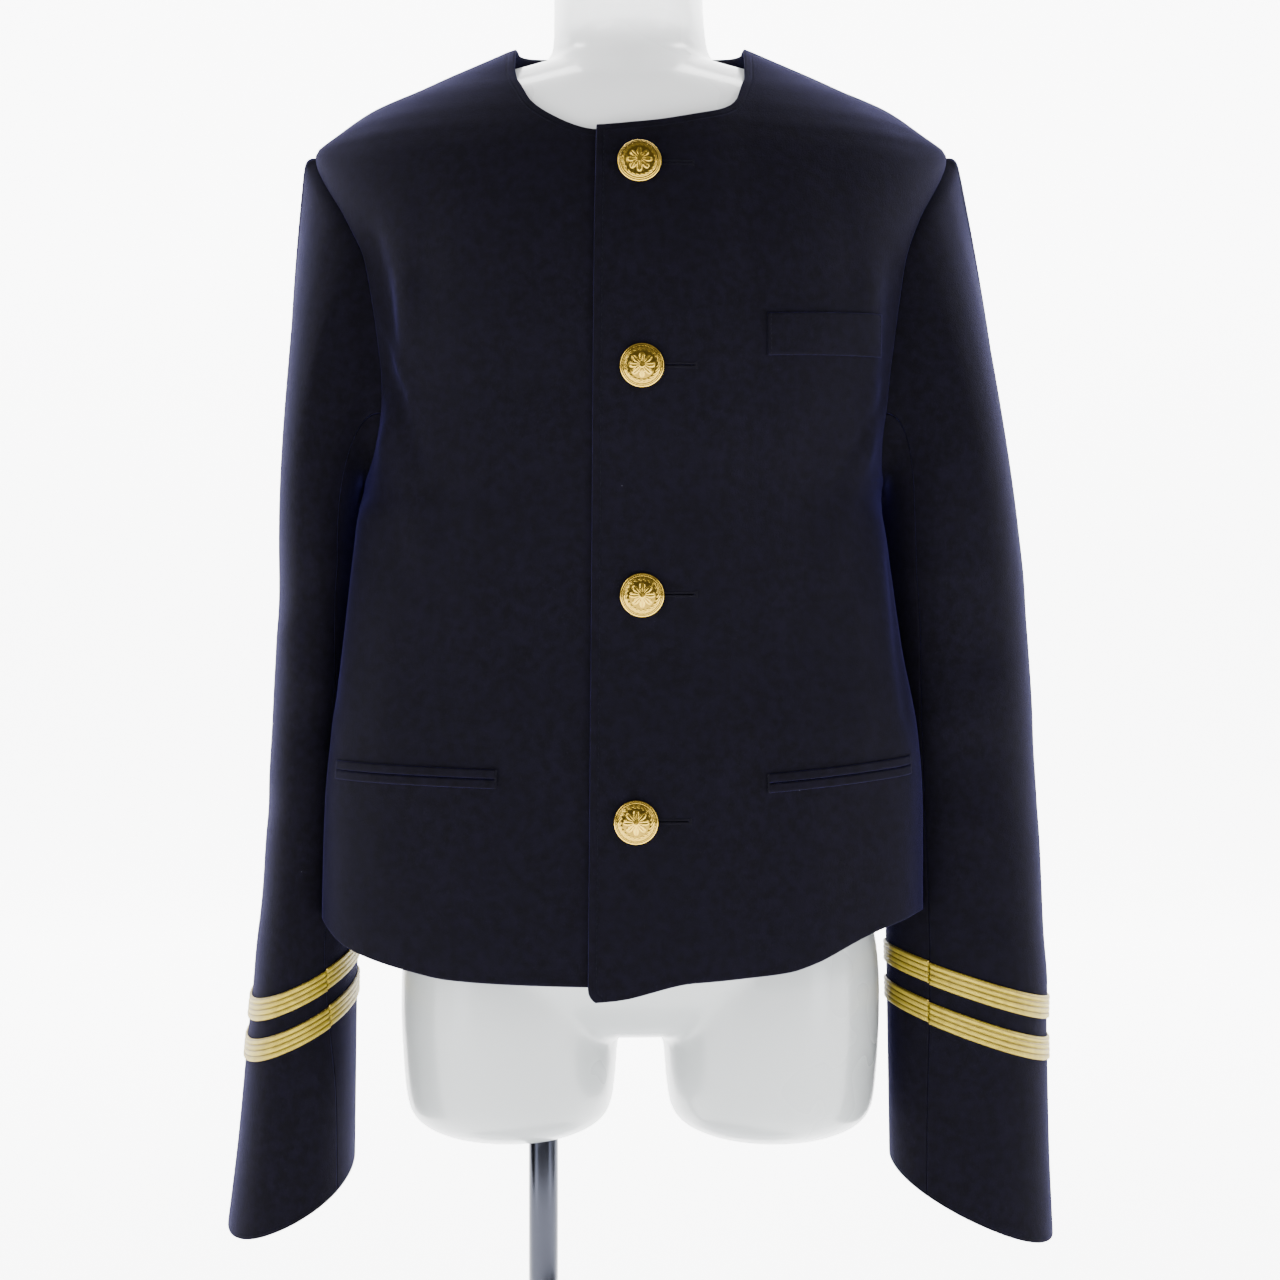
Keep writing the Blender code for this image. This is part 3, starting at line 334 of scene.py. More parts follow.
# Space between the cloth and the form, and the form's lean to one side: height, gap, shift
FIT = np.array([
    (0.250, 0.0300, 0.0040),
    (0.300, 0.0300, 0.0040),
    (0.360, 0.0270, 0.0030),
    (0.450, 0.0260, 0.0030),
    (0.535, 0.0170, 0.0020),
    (0.600, 0.0090, 0.0000),
    (0.660, 0.0050, 0.0000),
    (0.700, 0.0034, 0.0000),
    (0.730, 0.0024, 0.0000),
    (0.750, 0.0014, 0.0000),
    (0.766, 0.0009, 0.0000),
    (0.777, 0.0036, 0.0000),
    (0.787, 0.0085, 0.0000),
    (0.793, 0.0130, 0.0000),
    (0.800, 0.0163, 0.0000),
    (0.807, 0.0122, 0.0000),
    (0.821, 0.0080, 0.0000),
    (0.850, 0.0062, 0.0000),
])

# The torso's underside, from its middle out: height, share of the width, share of the depth
FORM_FLOOR = (
    (0.2245, 0.20, 0.34),
    (0.2275, 0.34, 0.50),
    (0.2400, 0.62, 0.66),
    (0.2620, 0.88, 0.80),
    (0.2850, 0.98, 0.90),
)

# The two short thighs, from inside the hips down to the rounded end: height, half width
STUMPS = np.array([
    (0.330, 0.0500),
    (0.300, 0.0570),
    (0.260, 0.0625),
    (0.239, 0.0628),
    (0.212, 0.0616),
    (0.190, 0.0596),
    (0.1815, 0.0577),
    (0.177, 0.0550),
    (0.173, 0.0508),
    (0.1690, 0.0432),
    (0.1660, 0.0340),
    (0.1646, 0.0240),
    (STUMP_LOW, 0.0110),
])
STUMP_CENTRES = (-0.0691, 0.0812)
STUMP_DEEPER = 1.12

# Hip pockets and the breast welt: side, inner across, outer angle, inner height, outer height
HIP_SLITS = {
    -1: (0.0705, 59.0, 0.3760, 0.3788),
    1: (0.0740, 61.5, 0.3737, 0.3813),
}
JET_WIDTH = 0.0048
JET_PARTING = 0.0006
WELT_SPAN = (0.0735, 0.1375)
WELT_LOW = (0.6018, 0.6056)
WELT_HIGH = (0.6246, 0.6292)

# Finer creases that only the dressed cloth has
# side, upper angle, upper height, lower angle, lower height, reach across, depth
FINE_FOLDS = np.array([
    (-1, 61.5, 0.625, 52.0, 0.585, 0.0065, 0.0016),
    (-1, 62.0, 0.598, 47.0, 0.552, 0.0080, -0.0013),
    (-1, 55.0, 0.560, 38.0, 0.500, 0.0110, 0.0010),
    (-1, 40.0, 0.690, 44.0, 0.640, 0.0120, -0.0009),
    (-1, 34.0, 0.520, 30.0, 0.400, 0.0160, -0.0010),
    (-1, 47.0, 0.470, 42.0, 0.330, 0.0150, 0.0011),
    (-1, 72.0, 0.500, 66.0, 0.420, 0.0100, -0.0012),
    (-1, 20.0, 0.360, 24.0, 0.280, 0.0140, 0.0008),
    (1, 62.0, 0.585, 50.0, 0.540, 0.0080, -0.0012),
    (1, 58.0, 0.550, 44.0, 0.490, 0.0110, 0.0011),
    (1, 42.0, 0.560, 33.0, 0.450, 0.0170, -0.0009),
    (1, 50.0, 0.470, 46.0, 0.400, 0.0130, 0.0010),
    (1, 30.0, 0.360, 34.0, 0.285, 0.0140, 0.0009),
    (1, 70.0, 0.490, 63.0, 0.410, 0.0100, -0.0012),
    (1, 38.0, 0.700, 45.0, 0.655, 0.0120, -0.0008),
    (-1, 112.0, 0.620, 136.0, 0.585, 0.0110, 0.0014),
    (-1, 112.0, 0.585, 142.0, 0.530, 0.0120, -0.0013),
    (-1, 128.0, 0.690, 160.0, 0.672, 0.0130, 0.0010),
    (-1, 160.0, 0.640, 168.0, 0.470, 0.0180, -0.0012),
    (-1, 110.0, 0.470, 135.0, 0.430, 0.0110, -0.0013),
    (-1, 158.0, 0.450, 153.0, 0.310, 0.0150, 0.0012),
    (-1, 118.0, 0.420, 112.0, 0.310, 0.0130, 0.0011),
    (1, 113.0, 0.612, 134.0, 0.570, 0.0100, 0.0013),
    (1, 112.0, 0.575, 146.0, 0.520, 0.0130, -0.0012),
    (1, 126.0, 0.684, 152.0, 0.676, 0.0120, 0.0010),
    (1, 164.0, 0.610, 158.0, 0.480, 0.0170, -0.0011),
    (1, 109.0, 0.460, 130.0, 0.410, 0.0120, -0.0012),
    (1, 162.0, 0.430, 166.0, 0.315, 0.0150, 0.0011),
    (1, 121.0, 0.410, 116.0, 0.305, 0.0120, 0.0010),
])

# side, angle, height, reach along, reach round, depth
FINE_SLEEVE_FOLDS = np.array([
    (-1, 110.0, 0.492, 0.009, 34.0, 0.0013),
    (-1, 60.0, 0.452, 0.010, 30.0, 0.0012),
    (-1, 95.0, 0.428, 0.010, 26.0, 0.0014),
    (-1, 120.0, 0.384, 0.008, 28.0, 0.0013),
    (-1, 45.0, 0.358, 0.012, 32.0, -0.0012),
    (-1, 85.0, 0.322, 0.013, 36.0, -0.0011),
    (-1, 20.0, 0.290, 0.016, 40.0, 0.0010),
    (-1, 190.0, 0.480, 0.011, 30.0, -0.0012),
    (-1, 230.0, 0.440, 0.010, 30.0, 0.0013),
    (-1, 275.0, 0.405, 0.012, 34.0, -0.0014),
    (-1, 320.0, 0.375, 0.014, 36.0, 0.0012),
    (-1, 340.0, 0.480, 0.016, 30.0, -0.0010),
    (1, 108.0, 0.488, 0.009, 32.0, 0.0013),
    (1, 70.0, 0.425, 0.010, 30.0, 0.0014),
    (1, 104.0, 0.404, 0.009, 26.0, 0.0012),
    (1, 40.0, 0.362, 0.013, 34.0, -0.0012),
    (1, 92.0, 0.346, 0.010, 30.0, 0.0012),
    (1, 70.0, 0.300, 0.015, 38.0, -0.0010),
    (1, 15.0, 0.270, 0.016, 40.0, 0.0010),
    (1, 185.0, 0.470, 0.011, 30.0, -0.0012),
    (1, 225.0, 0.430, 0.010, 30.0, 0.0013),
    (1, 270.0, 0.392, 0.012, 34.0, -0.0013),
    (1, 325.0, 0.365, 0.014, 36.0, 0.0012),
    (1, 345.0, 0.468, 0.016, 30.0, -0.0010),
])
ALL_FOLDS = np.concatenate([BODY_FOLDS, FINE_FOLDS])
ALL_SLEEVE_FOLDS = np.concatenate([SLEEVE_FOLDS, FINE_SLEEVE_FOLDS])

# %% [markdown]
# ## The body surface
# A smooth curve runs through the rows of each table without overshooting, because a spline
# that overshoots would put ripples into plain cloth. Folds are added as soft ridges and
# troughs along short lines, so they keep their place when the sections change.

# %% Reading the tables and standing on the surface
# Rounding of the shoulders: reach in height, fade round the side, where it starts and ends
CREST_ROUND = 0.022
CREST_FADE = 30.0
CREST_LOW = 0.665
CREST_HIGH = 0.750
CREST_EASE_IN = 0.030
CREST_EASE_OUT = 0.025

# One degree round the body in metres, for a path's length and for the folds' reach
DEGREE_RUN = 0.0026
FOLD_DEGREE = math.radians(1) * 0.150

# The cloth is pressed in beside the sleeves, from this far across
PRESS_SHARE = 0.7
PRESS_FROM = 0.08
PRESS_BLEND = 0.04

# Steps for square directions, and the share of a seam gap that each side keeps
ANGLE_STEP = 2.5
HEIGHT_STEP = 0.003
GAP_SHARE = 0.6


def through(knots, values, at):
    """A smooth curve through the knots that never overshoots them."""
    at = np.clip(at, knots[0], knots[-1])
    step = np.diff(knots)[:, None]
    rise = np.diff(values, axis=0) / step
    same = rise[:-1] * rise[1:] > 0
    total = np.where(same, rise[:-1] + rise[1:], 1.0)
    slope = np.zeros(values.shape)
    slope[1:-1] = np.where(same, 2 * rise[:-1] * rise[1:] / total, 0.0)
    slope[0] = rise[0]
    slope[-1] = rise[-1]
    i = np.clip(np.searchsorted(knots, at, side="right") - 1, 0, len(step) - 1)
    width = step[i]
    t = (at - knots[i])[:, None] / width
    start = (2 * t**3 - 3 * t**2 + 1) * values[i]
    end = (3 * t**2 - 2 * t**3) * values[i + 1]
    leave = (t**3 - 2 * t**2 + t) * width * slope[i]
    arrive = (t**3 - t**2) * width * slope[i + 1]
    return start + end + leave + arrive


def read(table, at):
    """The table's other columns at each value of its first column."""
    order = np.argsort(table[:, 0])
    rows = table[order]
    return through(rows[:, 0], rows[:, 1:], np.asarray(at, float).ravel()).T


def along(points, share):
    """Points at a share of the way along a smooth path through the given points."""
    scale = np.array([DEGREE_RUN, 1.0]) if points[:, 0].max() > 1 else np.array([1.0, 1.0])
    steps = np.linalg.norm(np.diff(points * scale, axis=0), axis=1)
    travelled = np.concatenate([[0.0], np.cumsum(steps)])
    return through(travelled / travelled[-1], points, np.asarray(share, float).ravel()).T


def ease(t):
    t = np.clip(t, 0.0, 1.0)
    return t * t * (3 - 2 * t)


def blend(a, b, t):
    return a + (b - a) * t


def power(value, exponent):
    return np.sign(value) * np.abs(value) ** exponent


def level_body(angle, height):
    """The table's own surface; angle 0 is the centre front, 90 the wearer's left."""
    half, front, back, shift, ridge, square = read(BODY, height)
    c = np.cos(np.radians(angle))
    s = np.sin(np.radians(angle))
    depth = np.where(c > 0, front, back)
    x = shift + half * power(s, 2 / square)
    y = ridge - depth * power(c, 2 / square)
    return np.stack([x, y, height + 0 * x], axis=1)


def plain_body(angle, height):
    """The body without folds; weights 1 4 6 4 1 average it where the shoulders roll over."""
    height = np.asarray(height, float)
    from_seam = np.abs(np.abs((angle + 180.0) % 360.0 - 180.0) - 90.0)
    reach = CREST_ROUND * ease(from_seam / CREST_FADE)
    reach = reach * ease((height - CREST_LOW) / CREST_EASE_IN)
    reach = reach * (1 - ease((height - CREST_HIGH) / CREST_EASE_OUT))
    p = level_body(angle, height) * 6
    for step, weight in ((1.0, 1), (0.5, 4)):
        above = level_body(angle, height + reach * step)
        below = level_body(angle, height - reach * step)
        p = p + (above + below) * weight
    p /= 16
    p[:, 2] = height
    return p


def fold_push(angle, height):
    """How far the folds lift the cloth off the plain body at a place."""
    push = np.zeros(len(angle))
    turned = (angle + 180.0) % 360.0 - 180.0
    for side, a0, h0, a1, h1, reach, depth in ALL_FOLDS:
        x = turned * side
        p = np.stack([x * FOLD_DEGREE, height], axis=1)
        start = np.array([a0 * FOLD_DEGREE, h0])
        run = np.array([a1 * FOLD_DEGREE, h1]) - start
        t = np.clip((p - start) @ run / (run @ run), 0, 1)
        away = np.linalg.norm(p - start - t[:, None] * run, axis=1)
        push += depth * np.exp(-((away / reach) ** 2))
    return push


def sleeve_inner_side(side, height, y):
    """How far across the inner side of a hanging sleeve is, at a height and depth."""
    outer, inner, front, back = read(SLEEVES[side], height)[:4]
    along_depth = (y - (front + back) / 2) / ((back - front) / 2)
    bulge = np.sqrt(np.clip(1 - along_depth**2, 0, 1))
    return (outer + inner) / 2 - (outer - inner) / 2 * bulge


def body(angle, height):
    """The outer face of the body cloth, with its folds and pressed in beside the sleeves."""
    angle = np.asarray(angle, float).ravel()
    height = np.asarray(height, float).ravel()
    p = plain_body(angle, height)
    out = p[:, :2] - np.stack([0 * height, read(BODY, height)[4]], axis=1)
    out /= np.maximum(np.linalg.norm(out, axis=1), 1e-9)[:, None]
    p[:, :2] += out * fold_push(angle, height)[:, None]
    for side in (-1, 1):
        limit = sleeve_inner_side(side, height, p[:, 1]) - SLEEVE_CLEAR - PRESS_SOFT * PRESS_SHARE
        limit += np.clip(height - PRESS_TOP, 0, None)
        x = p[:, 0] * side
        soft = np.minimum(x, limit) - PRESS_SOFT * np.log1p(np.exp(-abs(x - limit) / PRESS_SOFT))
        pressed = blend(x, soft, ease((x - PRESS_FROM) / PRESS_BLEND)) * side
        p[:, 0] = np.where(x > PRESS_FROM, pressed, p[:, 0])
    return p


def facing(surface, a, b, step_a, step_b):
    """Unit vectors square to a surface of two parameters."""
    along_a = surface(a + step_a, b) - surface(a - step_a, b)
    along_b = surface(a, b + step_b) - surface(a, b - step_b)
    n = np.cross(along_a, along_b)
    return n / np.linalg.norm(n, axis=1)[:, None]


def body_facing(angle, height):
    return facing(body, angle, height, ANGLE_STEP, HEIGHT_STEP)


def angle_at(across, height):
    """The angle on the front of the body at a distance across, at each height."""
    half, _, _, shift, _, square = read(BODY, height)
    x = np.asarray(across, float) - shift
    return np.degrees(np.arcsin(power(np.clip(x / half, -1, 1), square / 2)))


def seam_turn(height, column):
    """The small angle that keeps half a seam gap from the side and shoulder seams."""
    rows = read(BODY, height)
    return np.degrees((SEAM_GAP * GAP_SHARE / rows[column]) ** (rows[5] / 2))


def lap_lift(angle, height):
    """How far the over front stands off the body where it laps the under front."""
    x = body(angle, height)[:, 0]
    return LAP_LIFT * (1 - ease((x - LAP_EASE_START) / LAP_EASE))


def over_edge(height):
    """The over front's free edge, with its rounded lower corner."""
    share = (height - FRONT_HEM) / (FRONT_NECK - FRONT_HEM)
    straight = blend(OVER_EDGE_HEM, OVER_EDGE_TOP, share)
    lowest = FRONT_HEM - OVER_HEM_DROP
    rise = np.clip((height - lowest) / OVER_CORNER, 0, 1)
    return straight + OVER_CORNER * (1 - np.sqrt(1 - (1 - rise) ** 2))


def hem_height(side, angle):
    height = read(HEM_FRONT[side], np.abs(angle))[0]
    if side > 0:
        from_edge = np.abs(angle - OVER_HEM_FROM)
        height = height - OVER_HEM_DROP * (1 - ease(from_edge / OVER_HEM_REACH))
    else:
        height = height + UNDER_HEM_TUCK * ease(angle / UNDER_HEM_REACH)
    return height


def outer_edge(v, armhole, turn_sign, column):
    """Angle and height up the side seam, the armhole and the shoulder seam."""
    side_height = blend(SIDE_HEM, UNDERARM, np.clip(v / ARMHOLE_SHARE, 0, 1))
    hole = (v - ARMHOLE_SHARE) / (SHOULDER_SHARE - ARMHOLE_SHARE)
    hole_angle, hole_height = along(armhole[::-1], np.clip(hole, 0, 1))
    top = (v - SHOULDER_SHARE) / (1 - SHOULDER_SHARE)
    top_height = blend(SHOULDER_TIP, NECK_POINT, np.clip(top, 0, 1))
    height = np.where(v < SHOULDER_SHARE, hole_height, top_height)
    height = np.where(v < ARMHOLE_SHARE, side_height, height)
    on_hole = (v >= ARMHOLE_SHARE) & (v < SHOULDER_SHARE)
    angle = np.where(on_hole, hole_angle, SIDE_SEAM)
    turn = seam_turn(height, column)
    if turn_sign < 0:
        return np.minimum(angle, SIDE_SEAM - turn), height
    return np.maximum(angle, SIDE_SEAM + turn), height


def front_cut(side, u, v):
    """Angle and height on a front; u runs from its free edge to the side, v from hem to neck."""
    lower = np.clip(v / ARMHOLE_SHARE, 0, 1)
    upper = np.clip((v - ARMHOLE_SHARE) / (SHOULDER_SHARE - ARMHOLE_SHARE), 0, 1)
    top = np.clip((v - SHOULDER_SHARE) / (1 - SHOULDER_SHARE), 0, 1)
    hem = hem_height(side, np.array([OVER_HEM_FROM]))[0]
    edge_height = blend(blend(hem, UNDERARM, lower), FRONT_NECK, upper)
    across = over_edge(edge_height) if side > 0 else 0 * v - UNDER_EDGE
    neck_across, neck_height = along(OVER_NECK if side > 0 else UNDER_NECK, top)
    inner_height = np.where(v > SHOULDER_SHARE, neck_height, edge_height)
    inner_across = np.where(v > SHOULDER_SHARE, neck_across, across)
    inner_angle = angle_at(inner_across * side, inner_height) * side
    inner_angle = np.minimum(inner_angle, SIDE_SEAM - seam_turn(inner_height, 1))
    outer_angle, outer_height = outer_edge(v, ARMHOLE_FRONT, -1, 1)
    angle = blend(inner_angle, outer_angle, u)
    height = blend(inner_height, outer_height, u)
    fade = (1 - lower) ** 2
    height += (hem_height(side, angle * side) - blend(hem, SIDE_HEM, u)) * fade
    dip = ease(u / SAG_PLACE) * (1 - ease((u - SAG_PLACE) / (1 - SAG_PLACE)))
    return angle * side, height - NECK_SAG * dip * ease(upper) * (1 - top)


def back_cut(side, u, v):
    """Angle and height on half the back; u runs from the centre back to the side."""
    centre = np.clip(v / BACK_NECK_SHARE, 0, 1)
    centre_height = blend(BACK_HEM, BACK_NECK, centre)
    neck_share = np.clip((v - BACK_NECK_SHARE) / (1 - BACK_NECK_SHARE), 0, 1)
    neck_angle = blend(180.0, SIDE_SEAM, neck_share)
    neck_height = blend(BACK_NECK, NECK_POINT, ease(neck_share))
    on_neck = v > BACK_NECK_SHARE
    inner_angle = np.where(on_neck, neck_angle, 180.0)
    inner_height = np.where(on_neck, neck_height, centre_height)
    outer_angle, outer_height = outer_edge(v, ARMHOLE_BACK, 1, 2)
    inner_angle = np.maximum(inner_angle, SIDE_SEAM + seam_turn(inner_height, 2))
    angle = blend(inner_angle, outer_angle, u)
    height = blend(inner_height, outer_height, u)
    fade = (1 - np.clip(v / ARMHOLE_SHARE, 0, 1)) ** 2
    height += (read(HEM_BACK, angle)[0] - blend(BACK_HEM, SIDE_HEM, u)) * fade
    return angle * side, height


def body_wall(cut, lift, thick):
    """A function of u and v that gives the outer and inner points of a body piece."""
    def at(u, v):
        angle, height = cut(u, v)
        n = body_facing(angle, height)
        off = lift(angle, height)
        outer = body(angle, height) + n * off[:, None]
        return outer, outer - n * thick
    return at


def body_frame(across, height):
    """A point of the body's front with its outward, sideways and upward directions."""
    angle = angle_at([across], np.array([height]))
    p = body(angle, [height])[0]
    n = Vector(body_facing(angle, np.array([height]))[0])
    sideways = Vector((0, 0, 1)).cross(n).normalized()
    return Vector(p), n, sideways, n.cross(sideways).normalized()


def button_frame(number):
    """Where a button's axis starts and points; it droops about the middle of its buttonhole."""
    droop = math.radians(BUTTON_DROOPS[number - 1])
    place, out, sideways, up = body_frame(*BUTTON_PLACES[number - 1])
    axis = out * math.cos(droop) - up * math.sin(droop)
    return place + (out - axis) * (LAP_LIFT - CLOTH / 2), axis, sideways, axis.cross(sideways)


# %% [markdown]
# ## The sleeve surface
# A sleeve leaves its armhole square to the cloth and turns down into a tube. The tube's
# sections come from a table for each arm, since the two arms hang a little differently.

# %% Sleeves from the armhole down
# The small roll at the sleeve head, its place down the cap and its reach round it
HEAD_SPAN = 14.0
HEAD_ROLL = 0.0034
HEAD_ROLL_PLACE = 0.075
HEAD_ROLL_REACH = 46.0

# How the cap turns down into the tube, and the steps for its square directions
FALL_STEP = 0.010
FALL_PULL = 1.15
TURN_STEP = 3.0
SHARE_STEP = 0.006


def armhole_ring(side, turn):
    """The armhole's edge at each angle round it, with the ways out of the cloth and into it."""
    def place(t):
        t = t % 360.0
        front = along(ARMHOLE_FRONT, np.clip(t / 180.0, 0, 1))
        back = along(ARMHOLE_BACK, np.clip((360.0 - t) / 180.0, 0, 1))
        return np.where(t <= 180.0, front, back)
    angle, height = place(turn)
    edge = body(angle * side, height)
    out = body_facing(angle * side, height)
    before = place(turn - HEAD_SPAN)
    after = place(turn + HEAD_SPAN)
    run = body(after[0] * side, after[1]) - body(before[0] * side, before[1])
    run /= np.linalg.norm(run, axis=1)[:, None]
    into = side * np.cross(out, run)
    return edge, out, into / np.linalg.norm(into, axis=1)[:, None]


def sleeve_section(side, turn, height):
    outer, inner, front, back, rise, dip, _ = read(SLEEVES[side], height)
    half = (outer - inner) / 2
    deep = (back - front) / 2
    c = power(np.cos(np.radians(turn)), 2 / SLEEVE_SQUARE)
    s = power(np.sin(np.radians(turn)), 2 / SLEEVE_SQUARE)
    x = (outer + inner) / 2 + half * c
    y = (front + back) / 2 - deep * s
    z = height - rise * half * c - dip * deep * s
    push = np.zeros(len(turn))
    for fold_side, at, level, reach, spread, depth in ALL_SLEEVE_FOLDS:
        if fold_side == side:
            turn_off = (turn - at + 180.0) % 360.0 - 180.0
            push += depth * np.exp(-(((height - level) / reach) ** 2) - (turn_off / spread) ** 2)
    return np.stack([side * (x + push * c), y - push * s, z], axis=1)


def sleeve_top(side):
    return SLEEVES[side][0, 0]


def sleeve_low(side):
    return SLEEVES[side][-1, 0]


def sleeve(side, turn, v):
    """The sleeve's outer face; turn 0 is its outer side, 90 its front, and v runs down it."""
    turn = np.asarray(turn, float).ravel()
    v = np.asarray(v, float).ravel()
    edge, out, into = armhole_ring(side, turn)
    into_part, out_part, length = read(CAP_START, turn % 360.0)
    start = edge + into * SEAM_GAP
    leave = (into * into_part[:, None] + out * out_part[:, None]) * length[:, None]
    top = sleeve_top(side)
    end = sleeve_section(side, turn, 0 * v + top)
    fall = sleeve_section(side, turn, 0 * v + top - FALL_STEP) - end
    fall /= np.linalg.norm(fall, axis=1)[:, None]
    arrive = fall * (np.linalg.norm(end - start, axis=1) * FALL_PULL)[:, None]
    t = np.clip(v / CAP_SHARE, 0, 1)[:, None]
    cap = (2 * t**3 - 3 * t**2 + 1) * start + (3 * t**2 - 2 * t**3) * end
    cap += (t**3 - 2 * t**2 + t) * leave + (t**3 - t**2) * arrive
    from_tip = (turn + 180.0) % 360.0 - 180.0
    near_tip = np.exp(-((from_tip / HEAD_ROLL_REACH) ** 2))[:, None]
    swell = t / HEAD_ROLL_PLACE * np.exp(1 - t / HEAD_ROLL_PLACE)
    cap += out * HEAD_ROLL * swell * near_tip
    below = np.clip((v - CAP_SHARE) / (1 - CAP_SHARE), 0, 1)
    tube = sleeve_section(side, turn, blend(top, sleeve_low(side), below))
    return np.where(v[:, None] < CAP_SHARE, cap, tube)


def sleeve_facing(side, turn, v):
    """Outward directions of the sleeve, which at the armhole are the body's own."""
    v = np.clip(v, 0.0, 1.0)
    surface = lambda a, b: sleeve(side, a, np.clip(b, 0, 1))
    n = side * facing(surface, turn, v, TURN_STEP, SHARE_STEP)
    own = armhole_ring(side, turn)[1]
    mix = (v <= 1e-6)[:, None]
    return np.where(mix, own, n)


def share_at(side, height):
    """How far down the sleeve a height is."""
    below = (sleeve_top(side) - height) / (sleeve_top(side) - sleeve_low(side))
    return CAP_SHARE + (1 - CAP_SHARE) * below


def front_seam(side, v):
    below = np.clip((v - CAP_SHARE) / (1 - CAP_SHARE), 0, 1)
    height = blend(sleeve_top(side), sleeve_low(side), below)
    return read(SLEEVES[side], height)[6]


def sleeve_turn(side, piece, u, v):
    """The angle round the sleeve at a share across its top or under piece."""
    seam = front_seam(side, v)
    if piece == "top":
        return blend(HIND_SEAM - 360.0 + SEAM_TURN, seam - SEAM_TURN, u)
    return blend(seam + SEAM_TURN, HIND_SEAM - SEAM_TURN, u)


def sleeve_wall(side, piece, lift, thick):
    """A function of u and v for the top or the under sleeve, or for what lies on it."""
    def at(u, v):
        turn = sleeve_turn(side, piece, u, v)
        n = sleeve_facing(side, turn, v)
        outer = sleeve(side, turn, v) + n * (lift + thick if lift else 0.0)
        return outer, outer - n * thick
    return at


def in_scene(name, data):
    """A new object for a mesh, a lamp or a camera, linked to the scene."""
    made = bpy.data.objects.new(name, data)
    bpy.context.scene.collection.objects.link(made)
    return made


def make_plain(obj):
    """Applies an object's modifiers and leaves a plain mesh."""
    bpy.context.view_layer.update()
    evaluated = obj.evaluated_get(bpy.context.evaluated_depsgraph_get())
    mesh = bpy.data.meshes.new_from_object(evaluated)
    obj.modifiers.clear()
    obj.data = mesh


def apply_modifier(obj, kind, **settings):
    modifier = obj.modifiers.new(kind.lower(), kind)
    for key, value in settings.items():
        setattr(modifier, key, value)
    make_plain(obj)


def apply_boolean(target, other, operation):
    """Joins or cuts with another object, which is then removed."""
    apply_modifier(target, "BOOLEAN", operation=operation, solver="EXACT", object=other)
    bpy.data.objects.remove(other)


def form_ring(height, count, across=1.0, deep=1.0):
    """One level ring of the dress form, inside the cloth by its fit."""
    turns = np.linspace(0, 360, count, endpoint=False)
    level = np.full(count, height)
    gap, shift = read(FIT, level)
    n = facing(plain_body, turns, level, ANGLE_STEP, HEIGHT_STEP)
    p = plain_body(turns, level) - n * (CLOTH + gap)[:, None]
    over = np.maximum(np.abs(p[:, 0]) - SHOULDER_ROUND_FROM, 0)
    kept = np.minimum(np.abs(p[:, 0]), SHOULDER_ROUND_FROM)
    rounded = SHOULDER_ROUND * (1 - np.exp(-over / SHOULDER_ROUND))
    p[:, 0] = np.sign(p[:, 0]) * (kept + rounded) * across + shift
    p[:, 1] *= deep
    return p


# %% [markdown]
# ## Cloth with a rounded edge
# A cut and turned edge of melton is soft, so a plain thick wall would look like card. Each
# piece is built from its middle surface, and its thickness fades to nothing over the last
# millimetre. A bevel modifier would do it too, but not on an edge that lies on a seam.

# %% Grids that meet along shared points
# How far in from a free edge and from a seam the cloth is rounded
EDGE_ROUND = 0.0011
SEAM_ROUND = 0.0005
SAME_EDGE = 0.0001

# Closer steps beside an edge, and how many places they take up with the edge itself
CLOSE_STEPS = np.array([0.0003, 0.0008, 0.0015, 0.0026])
AT_END = len(CLOSE_STEPS) + 1
EDGES = {"bottom": np.s_[0], "far": np.s_[:, -1], "near": np.s_[:, 0]}


def shares(count, length):
    """Even shares of a length, with closer ones beside its ends."""
    close = CLOSE_STEPS / length
    even = np.linspace(0, 1, count + 1)
    inside = even[(even > close[-1] * 1.2) & (even < 1 - close[-1] * 1.2)]
    return np.concatenate([[0], close, inside, 1 - close[::-1], [1]])


def run_lengths(grid, axis):
    steps = np.linalg.norm(np.diff(grid, axis=axis), axis=2)
    return np.concatenate([np.zeros_like(np.take(steps, [0], axis)), np.cumsum(steps, axis)], axis)


def fine_patch(at, across, up, way=1):
    """Outer and inner points of a piece, and where each point lies on the flat cloth."""
    u, v = np.meshgrid(across, up)
    outer, inner = at(u.ravel(), v.ravel())
    outer = outer.reshape(*u.shape, 3)
    inner = inner.reshape(*u.shape, 3)
    middle = (outer + inner) / 2
    flat = np.stack([way * run_lengths(middle, 1), run_lengths(middle, 0)], axis=2)
    return outer, inner, flat


def joined(patches):
    """Points and faces of several grids, with the points that they share merged."""
    parts = zip(*patches)
    outer, inner, flat = (np.concatenate([p.reshape(-1, p.shape[2]) for p in part]) for part in parts)
    faces = []
    start = 0
    for grid, _, _ in patches:
        rows, columns = grid.shape[:2]
        index = np.arange(rows * columns).reshape(rows, columns) + start
        ring = (index[:-1, :-1], index[:-1, 1:], index[1:, 1:], index[1:, :-1])
        faces.append(np.stack(ring, axis=-1).reshape(-1, 4))
        start += rows * columns
    places = np.round(outer, 6)
    _, first, back = np.unique(places, axis=0, return_index=True, return_inverse=True)
    rings = [list(dict.fromkeys(f)) for f in back.ravel()[np.concatenate(faces)].tolist()]
    return outer[first], inner[first], flat[first], [r for r in rings if len(r) > 2]


def grid_edges(patches, *edges):
    """Lines of points along the named edges of grids."""
    return [((outer + inner) / 2)[EDGES[edge]] for outer, inner, _ in patches for edge in edges]


